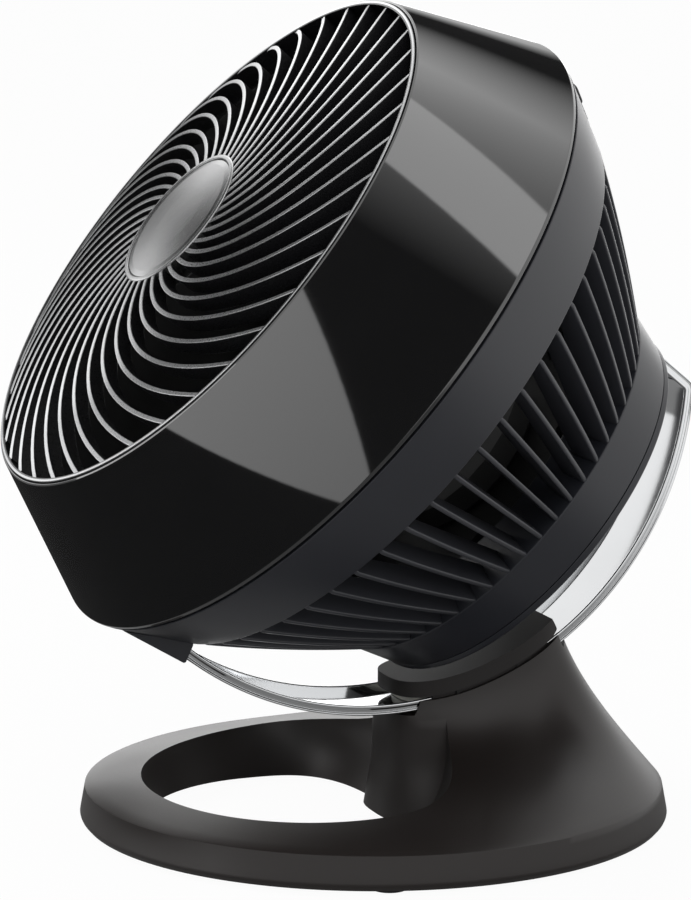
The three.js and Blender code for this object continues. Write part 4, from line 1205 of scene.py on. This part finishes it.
# the skin's curve from the base's edge to the saddle, at the sides and at the rear
SKIN_NEAR = (0.6, 0.4)  # share of the run over which it leaves the edge
SKIN_SLOPE = (0.2, 0.83)  # slope with which it leaves the edge
SKIN_STEEPER = 0.1  # how that slope grows from the front round to the rear
SKIN_NEAR_TOP = 0.6  # most of the rise that this part may take
SKIN_FAR = (0.01, 0.2)  # share of the run over which it meets the saddle
SKIN_FAR_RISE = (0.08, 0.62)  # share of the rise where that part starts


def flank_ring(t):
    """The skin between the base's edge (t = 0) and the saddle (t = 1): a curve on each side
    that leaves the edge at a shallow slope and climbs to the saddle, less hollow at the rear."""
    ring = []
    ridge_r = BASE_R - BEVEL
    for a in flank_angles:
        start = Vector((ridge_r * math.cos(a), ridge_r * math.sin(a)))
        end = Vector(saddle_point(a))
        run = (end - start).length
        rear = max(0.0, math.sin(a)) ** 3
        top_z = arc_z(end.y, seat_r - CLEAR_TOP)
        rise = top_z - EDGE_H
        near, slope, far, far_rise = (
            side + (back - side) * rear for side, back in (SKIN_NEAR, SKIN_SLOPE, SKIN_FAR, SKIN_FAR_RISE)
        )
        near_in = near * run
        slope += SKIN_STEEPER * (1 + math.sin(a)) ** 2
        near_z = EDGE_H + min(near_in * slope, SKIN_NEAR_TOP * rise)
        far_out = far * run
        far_z = EDGE_H + far_rise * rise
        weights = ((1 - t) ** 3, 3 * t * (1 - t) ** 2, 3 * t * t * (1 - t), t**3)
        along = (0, near_in / run, 1 - far_out / run, 1)
        heights = (EDGE_H, near_z, far_z, top_z)
        f = sum(w * v for w, v in zip(weights, along))
        z = sum(w * v for w, v in zip(weights, heights))
        point = start.lerp(end, f)
        ring.append((point.x, point.y, z))
    return ring


def circle(r, z):
    return [(r * math.cos(a), r * math.sin(a), z) for a in flank_angles]


BEAD_TOP = 4.0  # height of the small rounding at the base's foot
SIDE_STEPS = 4
FLANK_STEPS = 30
rings = [circle(BASE_R - inset, z) for inset, z in (
    (2.6, 0), (2, 0), (0.5, 1.7), (0.1, 2.6), (0, 3.2), (0.1, BEAD_TOP),
)]
for k in range(1, SIDE_STEPS + 1):
    f = k / SIDE_STEPS
    rings.append(circle(BASE_R - 0.1 - (BEVEL - 0.1) * f, BEAD_TOP + (EDGE_H - 0.2 - BEAD_TOP) * f))
rings += [flank_ring(t) for t in [0.004] + [k / FLANK_STEPS for k in range(1, FLANK_STEPS + 1)]]
on_feet = BASE @ Matrix.Translation((0, 0, FOOT_H))
flank = lofted("base_shell_skin", rings, base_black, on_feet, sharp=60)


DRUM_FACES = 360


def tilt_drum(name, r, width):
    """A drum round the tilt axis."""
    turns = [TAU * k / DRUM_FACES for k in range(DRUM_FACES)]
    ring = [(PIVOT_Y + r * math.cos(a), PIVOT_Z + r * math.sin(a)) for a in turns]
    ends = [[(x, y, z) for y, z in ring] for x in (-width / 2, width / 2)]
    return lofted(name, ends, base_black, BASE)


def hole_point(angle, z, grow):
    """The hole's outline at a height, its wall leaning out up to HOLE_LEAN."""
    lean = 1 - (1 - min(1.0, max(0.0, z / HOLE_LEAN))) ** 2
    wide, middle, ahead, behind, square = (a + (b - a) * lean for a, b in zip(HOLE_LOW, HOLE_HIGH))
    c, s = math.cos(angle), math.sin(angle)
    power = 2 / square if s > 0 else 1
    reach = (behind if s > 0 else ahead) + grow
    return (wide + grow) * rounded(c, power), middle + reach * rounded(s, power), z


HOLE_LEVELS = 16
NOSE_LEVELS = 24
NOSE_OVER = 71.0  # how far the nose's tool runs on above the saddle's front


def hole_cutter(grow, low=-12.0):
    """The tool for the hole: its leaning outline less the pedestal's nose."""
    high = arc_z(SADDLE_FRONT, seat_r)
    levels = [low] + [HOLE_LEAN * k / HOLE_LEVELS for k in range(HOLE_LEVELS + 1)] + [high + 60]
    even = [TAU * k / AROUND for k in range(AROUND)]
    drum = lofted("drum", [[hole_point(a, z, grow) for a in even] for z in levels], base_black, BASE)
    waist = high * 0.45
    top = high + NOSE_OVER
    nose_rings = []
    for k in range(NOSE_LEVELS + 1):
        z = low + (top - low) * k / NOSE_LEVELS
        if z < waist:
            f = NOSE_WAIST + (1 - NOSE_WAIST) * (waist - z) / (waist - low)
        else:
            f = NOSE_WAIST * (top - z) / (top - waist)
        outline = [saddle_point(a, grow, NOSE_GROW * f, NOSE_REACH * f) for a in flank_angles]
        nose_rings.append([(x, y, z) for x, y in outline])
    nose = lofted("nose", nose_rings, base_black, BASE)
    return carved(drum, [nose])


wide_drum = 400
channel_w = GLIDE_W + 4 * GAP
hollow_r = BASE_R - 5
hollow = [(0, -3), (hollow_r, -3), (hollow_r, 6), (0, 6)]
recess = revolved("recess", hollow, base_black, BASE, segments=224)
carved(recess, [hole_cutter(WALL, low=-14)])
carved(flank, [
    recess,
    hole_cutter(0),
    tilt_drum("seat", seat_r, wide_drum),
    tilt_drum("channel", channel_r, channel_w),
], sharp=40)
finished(flank, "base", "satin_black", "base_shell")


def rear_end(degrees):
    """Everything behind a plane through the tilt axis, to end the cap square to its arc."""
    corners = []
    for angle, r in ((degrees, 60), (degrees, 240), (degrees + 40, 240), (degrees + 40, 60)):
        a = math.radians(angle)
        corners.append((PIVOT_Y + r * math.sin(a), PIVOT_Z - r * math.cos(a)))
    return lofted("end", [[(x, y, z) for y, z in corners] for x in (-60, 60)], base_black, BASE)


def arc_slab(name, inset, r_high, r_low):
    """The saddle's outline between two arcs round the tilt axis, ended square at its heel."""
    plan = [saddle_point(a, inset) for a in flank_angles]
    slab = prism(name, plan, 0, PIVOT_Z, base_black, BASE)
    carved(slab, [tilt_drum("low", r_low, wide_drum)], "INTERSECT")
    return carved(slab, [tilt_drum("high", r_high, wide_drum + 4), rear_end(CAP_END)])


cap_foot_r = cap_high_r + CAP_T
cap = arc_slab("saddle_cap_top", 0, cap_high_r, cap_foot_r)
skirt = arc_slab("skirt", SHADOW_D, cap_foot_r - 0.5, seat_r - 0.03)
room = tilt_drum("room", cap_low_r + 5, channel_w)
carved(room, [tilt_drum("keep", GLIDE_R - FLANGE_H - GAP * 1.5, channel_w + 4 * GAP)])
cap = merged("saddle_cap_top", [cap, skirt])
smooth(cap, 40)
carved(cap, [room], sharp=40)
# the cap takes the darker copy of the base's black: painted shade
cap.data.materials.clear()
cap.data.materials.append(cap_black_painted_shade.material)
finished(cap, "base", "satin_black", "saddle_cap")

FEET = 5
foot_spot_r = BASE_R - (WALL + 1.4 + GAP) - FOOT_R - 0.8
feet = revolved("rubber_feet", [
    (0, 0), (FOOT_R - 0.7, 0, 0.5), (FOOT_R, FOOT_H - 0.1, 0.3), (0, FOOT_H - 0.1),
], rubber, Matrix.Translation((foot_spot_r, 0, 0)), segments=64)
ring_of(feet, FEET, rubber, BASE, start=-math.pi / 2)
finished(feet, "base", "rubber", *[f"rubber_foot_{i + 1}" for i in range(FEET)])

# ------------------------------------------------------------------ CAD pieces that stay

inner_looks = {
    "base_plate": base_black,
    "ballast_weight": cast,
    "glide_shoe": nylon,
    "glide_pad": felt,
    # motor parts: black paint made near-black as painted shade
    "motor_mount": black_paint_and_shade,
    "motor_case_front": black_paint_and_shade,
    "motor_case_rear": black_paint_and_shade,
    "stator_core": cast,
    "rotor_core": steel,
    "winding_front": copper,
    "winding_rear": copper,
    "bearing_front": steel,
    "bearing_rear": steel,
    "motor_shaft": steel,
    "propeller_nut": steel,
    "run_capacitor": panel_black,
    "switch_board": board,
    # the steel cap screws wear the near-black too: painted shade in the gap under the cap
    **{f"cap_screw_{i}": black_paint_and_shade for i in range(1, 5)},
}
for node, finish in inner_looks.items():
    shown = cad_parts[node]
    shown.data.materials.clear()
    shown.data.materials.append(finish.material)

# ------------------------------------------------------------------ studio

# levels of light
WORLD_LIGHT = 0.55  # on everything
FLOOR_GLOW = 0.96  # share of the floor that reads as pure white
MIRRORED_FLOOR = 0.22  # the floor beside and ahead of the fan, as a gloss face mirrors it
SHEET_BASE = 0.02  # of the black flags

# places, in metres
FLOOR = 12.0
FLOOR_DROP = 0.0004  # the floor lies this far below the feet
BRIGHT_FLOOR_Y = (0.25, 0.6)  # where the mirrored floor turns from its low level to white


def backdrop_ray(tree):
    """1 for rays that should meet the white backdrop as it is: seen, mirrored or let through."""
    paths = tree.nodes.new("ShaderNodeLightPath")
    either = None
    for ray in ("Is Camera Ray", "Is Glossy Ray", "Is Transmission Ray"):
        if either is None:
            either = paths.outputs[ray]
            continue
        largest = tree.nodes.new("ShaderNodeMath")
        largest.operation = "MAXIMUM"
        tree.links.new(either, largest.inputs[0])
        tree.links.new(paths.outputs[ray], largest.inputs[1])
        either = largest.outputs[0]
    return either


world = bpy.data.worlds.new("studio")
bpy.context.scene.world = world
world.use_nodes = True
tree = world.node_tree
sky = tree.nodes["Background"]
level = tree.nodes.new("ShaderNodeMapRange")
level.inputs["To Min"].default_value = WORLD_LIGHT
level.inputs["To Max"].default_value = 1.0
tree.links.new(backdrop_ray(tree), level.inputs["Value"])
tree.links.new(level.outputs[0], sky.inputs["Strength"])
sky.inputs["Color"].default_value = (1, 1, 1, 1)


def stage_sheet(name, corners, material, faces=None, diffuse=True, seen=False):
    """A card, floor or lamp face given by its corners in metres; only one that is seen casts shade."""
    mesh = bpy.data.meshes.new(name)
    mesh.from_pydata([tuple(c) for c in corners], [], faces or [tuple(range(len(corners)))])
    mesh.materials.append(material)
    card = bpy.data.objects.new(name, mesh)
    bpy.context.scene.collection.objects.link(card)
    card.visible_camera = seen
    card.visible_glossy = True
    card.visible_diffuse = diffuse
    card.visible_shadow = seen
    card.visible_transmission = True
    return card


def glow_only(finish, level):
    """Makes a finish a lamp face whose brightness is the given value."""
    glow = finish.node("ShaderNodeEmission", sockets={"Strength": level})
    finish.tree.links.new(glow.socket, finish.tree.nodes["Material Output"].inputs[0])


def white_floor():
    """Pale floor that reads as white and still keeps a soft shadow."""
    finish = Finish("pale_floor", Base_Color=(0.86, 0.86, 0.86), Roughness=1.0, Specular_IOR_Level=0.0)
    place = finish.node("ShaderNodeTexCoord", out="Object")
    along = finish.node("ShaderNodeSeparateXYZ", sockets={"Vector": place}, out="Y")
    near, far = BRIGHT_FLOOR_Y
    mirrored = finish.node(
        "ShaderNodeMapRange",
        sockets={"Value": along, "From Min": near, "From Max": far, "To Min": MIRRORED_FLOOR},
    )
    glossy = finish.node("ShaderNodeLightPath", out="Is Glossy Ray")
    brightness = finish.node(
        "ShaderNodeMapRange", sockets={"Value": glossy, "To Min": 1.0, "To Max": mirrored},
    )
    glow = finish.node("ShaderNodeEmission", sockets={"Strength": brightness})
    share = Shade(finish, backdrop_ray(finish.tree)) * FLOOR_GLOW
    plain = Shade(finish, finish.shader.outputs[0])
    blend = finish.node("ShaderNodeMixShader", sockets={0: share, 1: plain, 2: glow})
    finish.tree.links.new(blend.socket, finish.tree.nodes["Material Output"].inputs[0])
    return finish


floor_corners = [(x * FLOOR, y * FLOOR, -FLOOR_DROP) for x, y in ((-1, -1), (1, -1), (1, 1), (-1, 1))]
stage_sheet("floor", floor_corners, white_floor().material, seen=True)


LAMPS_AT = (0, 0, 0.2)


def area(name, where, size, power):
    """A square lamp aimed at the fan that no gloss face mirrors."""
    data = bpy.data.lights.new(name, "AREA")
    data.shape = "RECTANGLE"
    data.size = size
    data.size_y = size
    data.energy = power
    lamp = bpy.data.objects.new(name, data)
    lamp.location = where
    lamp.rotation_mode = "QUATERNION"
    lamp.rotation_quaternion = (Vector(LAMPS_AT) - Vector(where)).to_track_quat("-Z", "Y")
    bpy.context.scene.collection.objects.link(lamp)
    lamp.visible_camera = False
    lamp.visible_glossy = False
    return lamp


area("key", (-1.2, -1.6, 1.9), size=1.2, power=26)
area("fill", (1.8, -0.6, 1.4), size=1.0, power=8)

# The gloss shroud mirrors one curved sheet. Each of its points lies where a ray from the camera goes
# after it meets the shroud, so a shape drawn on the sheet by angle round the head and by place along
# it shows at that place on the shroud. Angles are degrees from straight up; a slant is in degrees for
# each millimetre behind the shroud's front, and soft is half the width of an edge.
SHEET_ANGLES = (4.0, 196.0)
SHEET_ALONG = (-12, 82)
SHEET_COLUMNS = 100
SHEET_ROWS = 13
SHEET_FAR = 0.62  # metres from the shroud's upper half
SHEET_NEAR = 0.15  # metres from its lower half
SHEET_TURN = (78, 118)  # angles between which it comes near
TOP_LIGHT = {"end": 10.5, "slant": 0.06, "soft": 3, "level": 0.45}
SOFT_LIGHT = {"start": 28, "slant": 0.1, "soft": 8.5, "end": 59, "end_soft": 18, "level": 1.4}
SOFT_LIGHT_POWER = 1.3
STRIP = {"start": 48.0, "start_slant": 0.162, "end": 64.0, "end_slant": 0.103, "soft": 0.3}
STRIP_LEVEL = 2.1
WEDGE = {"start": 93.0, "start_slant": 0.2206, "end": 128.0, "end_slant": -0.21, "soft": 0.25}
WEDGE_LEVEL = 1.38
WEDGE_FADE = 0.005  # for each millimetre behind the shroud's front


def mirrored_ray(point, normal):
    """Where a ray from the camera goes after a mirror at a point."""
    view = (camera.location - point).normalized()
    return 2 * view.dot(normal) * normal - view


def head_spot(degrees, r, s, outward, forward):
    """A place on the head, in metres, and which way its surface faces, as shares of out and forward."""
    a = math.radians(degrees)
    out = Vector((math.sin(a), math.cos(a), 0))
    ahead = Vector((0, 0, 1))
    facing = HEAD.to_3x3().normalized() @ (out * outward + ahead * forward)
    return HEAD @ (out * r + ahead * s), facing.normalized()


def sheet_distance(degrees):
    start, end = SHEET_TURN
    f = min(1.0, max(0.0, (degrees - start) / (end - start)))
    return SHEET_FAR + (SHEET_NEAR - SHEET_FAR) * f * f * (3 - 2 * f)


def between(shape, angle, behind):
    """1 between a shape's two slanted edges."""
    after_start = (angle - behind * shape["start_slant"]).above(shape["start"], shape["soft"])
    after_end = (angle - behind * shape["end_slant"]).above(shape["end"], shape["soft"])
    return after_start * (1 - after_end)


def shroud_light(angle, along):
    """Brightness of the sheet: a light over the top, a soft one, a hard strip in it and a wedge below."""
    behind = SHROUD_L - along
    top = 1 - (angle - behind * TOP_LIGHT["slant"]).above(TOP_LIGHT["end"], TOP_LIGHT["soft"])
    rise = (angle - behind * SOFT_LIGHT["slant"]).above(SOFT_LIGHT["start"], SOFT_LIGHT["soft"])
    fall = 1 - angle.above(SOFT_LIGHT["end"], SOFT_LIGHT["end_soft"])
    soft = rise**SOFT_LIGHT_POWER * fall * SOFT_LIGHT["level"]
    strip = between(STRIP, angle, behind)
    glow = top * TOP_LIGHT["level"] + soft * (1 - strip) + strip * STRIP_LEVEL
    return glow + between(WEDGE, angle, behind) * (WEDGE_LEVEL - behind * WEDGE_FADE) + SHEET_BASE


def softbox_sheet():
    verts, faces, angles, alongs = [], [], [], []
    for degrees in spread(*SHEET_ANGLES, SHEET_COLUMNS + 1):
        for s in spread(*SHEET_ALONG, SHEET_ROWS + 1):
            point, normal = head_spot(degrees, shroud_r(s), s, 1, shroud_slope)
            verts.append(point + mirrored_ray(point, normal) * sheet_distance(degrees))
            angles.append(degrees)
            alongs.append(s)
    for i in range(SHEET_COLUMNS):
        for j in range(SHEET_ROWS):
            k = i * (SHEET_ROWS + 1) + j
            faces.append((k, k + 1, k + SHEET_ROWS + 2, k + SHEET_ROWS + 1))
    finish = Finish("softboxes_and_flags")
    angle = finish.node("ShaderNodeAttribute", {"attribute_name": "angle"}, out="Fac")
    along = finish.node("ShaderNodeAttribute", {"attribute_name": "along"}, out="Fac")
    glow_only(finish, shroud_light(angle, along))
    sheet = stage_sheet("softbox_sheet", verts, finish.material, faces, diffuse=False)
    for name, values in (("angle", angles), ("along", alongs)):
        sheet.data.attributes.new(name, "FLOAT", "POINT").data.foreach_set("value", values)


softbox_sheet()

# The vanes' bright edges and the badge mirror a dome-shaped sheet close to the grille, made the same way.
GRILLE_SHEET_AWAY = 0.12  # metres
GRILLE_SHEET_COLUMNS = 90
GRILLE_SHEET_RINGS = (2, 12, 24, 38, 60, 85, 110, 130, 146, 160)
UPPER_LOBE = (0, 38, 2.4)  # angle, width, level
LOWER_LOBE = (165, 30, 1.9)
LEFT_LIFT = 0.1
BADGE_LIGHT = 1.1
BADGE_LIGHT_R = 28


def grille_light(degrees, r):
    """Lighter above and below, dim at the sides, even over the badge."""
    lit = LEFT_LIFT if degrees >= 180 else 0.0
    for angle, width, level in (UPPER_LOBE, LOWER_LOBE):
        apart = abs((degrees - angle + 180) % 360 - 180)
        lit += level * math.exp(-((apart / width) ** 2))
    middle = max(0.0, 1 - r / BADGE_LIGHT_R)
    return lit * (1 - middle) + BADGE_LIGHT * middle


def grille_sheet():
    verts, faces, levels = [], [], []
    for i in range(GRILLE_SHEET_COLUMNS):
        degrees = 360 * i / GRILLE_SHEET_COLUMNS
        for r in GRILLE_SHEET_RINGS:
            slope = (dome_s(r - 1) - dome_s(r + 1)) / 2
            point, normal = head_spot(degrees, r, dome_s(r), slope, 1)
            verts.append(point + mirrored_ray(point, normal) * GRILLE_SHEET_AWAY)
            levels.append(grille_light(degrees, r))
    count = len(GRILLE_SHEET_RINGS)
    for i in range(GRILLE_SHEET_COLUMNS):
        for j in range(count - 1):
            a, b = i * count + j, (i + 1) % GRILLE_SHEET_COLUMNS * count + j
            faces.append((a, a + 1, b + 1, b))
    finish = Finish("grille_softbox")
    glow_only(finish, finish.node("ShaderNodeAttribute", {"attribute_name": "level"}, out="Fac"))
    sheet = stage_sheet("grille_softbox", verts, finish.material, faces, diffuse=False)
    sheet.data.attributes.new("level", "FLOAT", "POINT").data.foreach_set("value", levels)


grille_sheet()


def upright_card(x0, y0, x1, y1, height):
    """Corners of a card that stands on the floor."""
    return [(x0, y0, 0.0), (x1, y1, 0.0), (x1, y1, height), (x0, y0, height)]


low_glow = Finish("low_softbox", Emission_Color=(1, 1, 1, 1), Emission_Strength=2.4, Base_Color=(0, 0, 0))
for name, corners in (
    ("far_softbox", upright_card(-1.3, -0.1, -1.3, 1.4, 0.45)),
    ("front_softbox", upright_card(-0.9, -1.2, 0.35, -1.2, 0.8)),
):
    stage_sheet(name, corners, low_glow.material, diffuse=False)
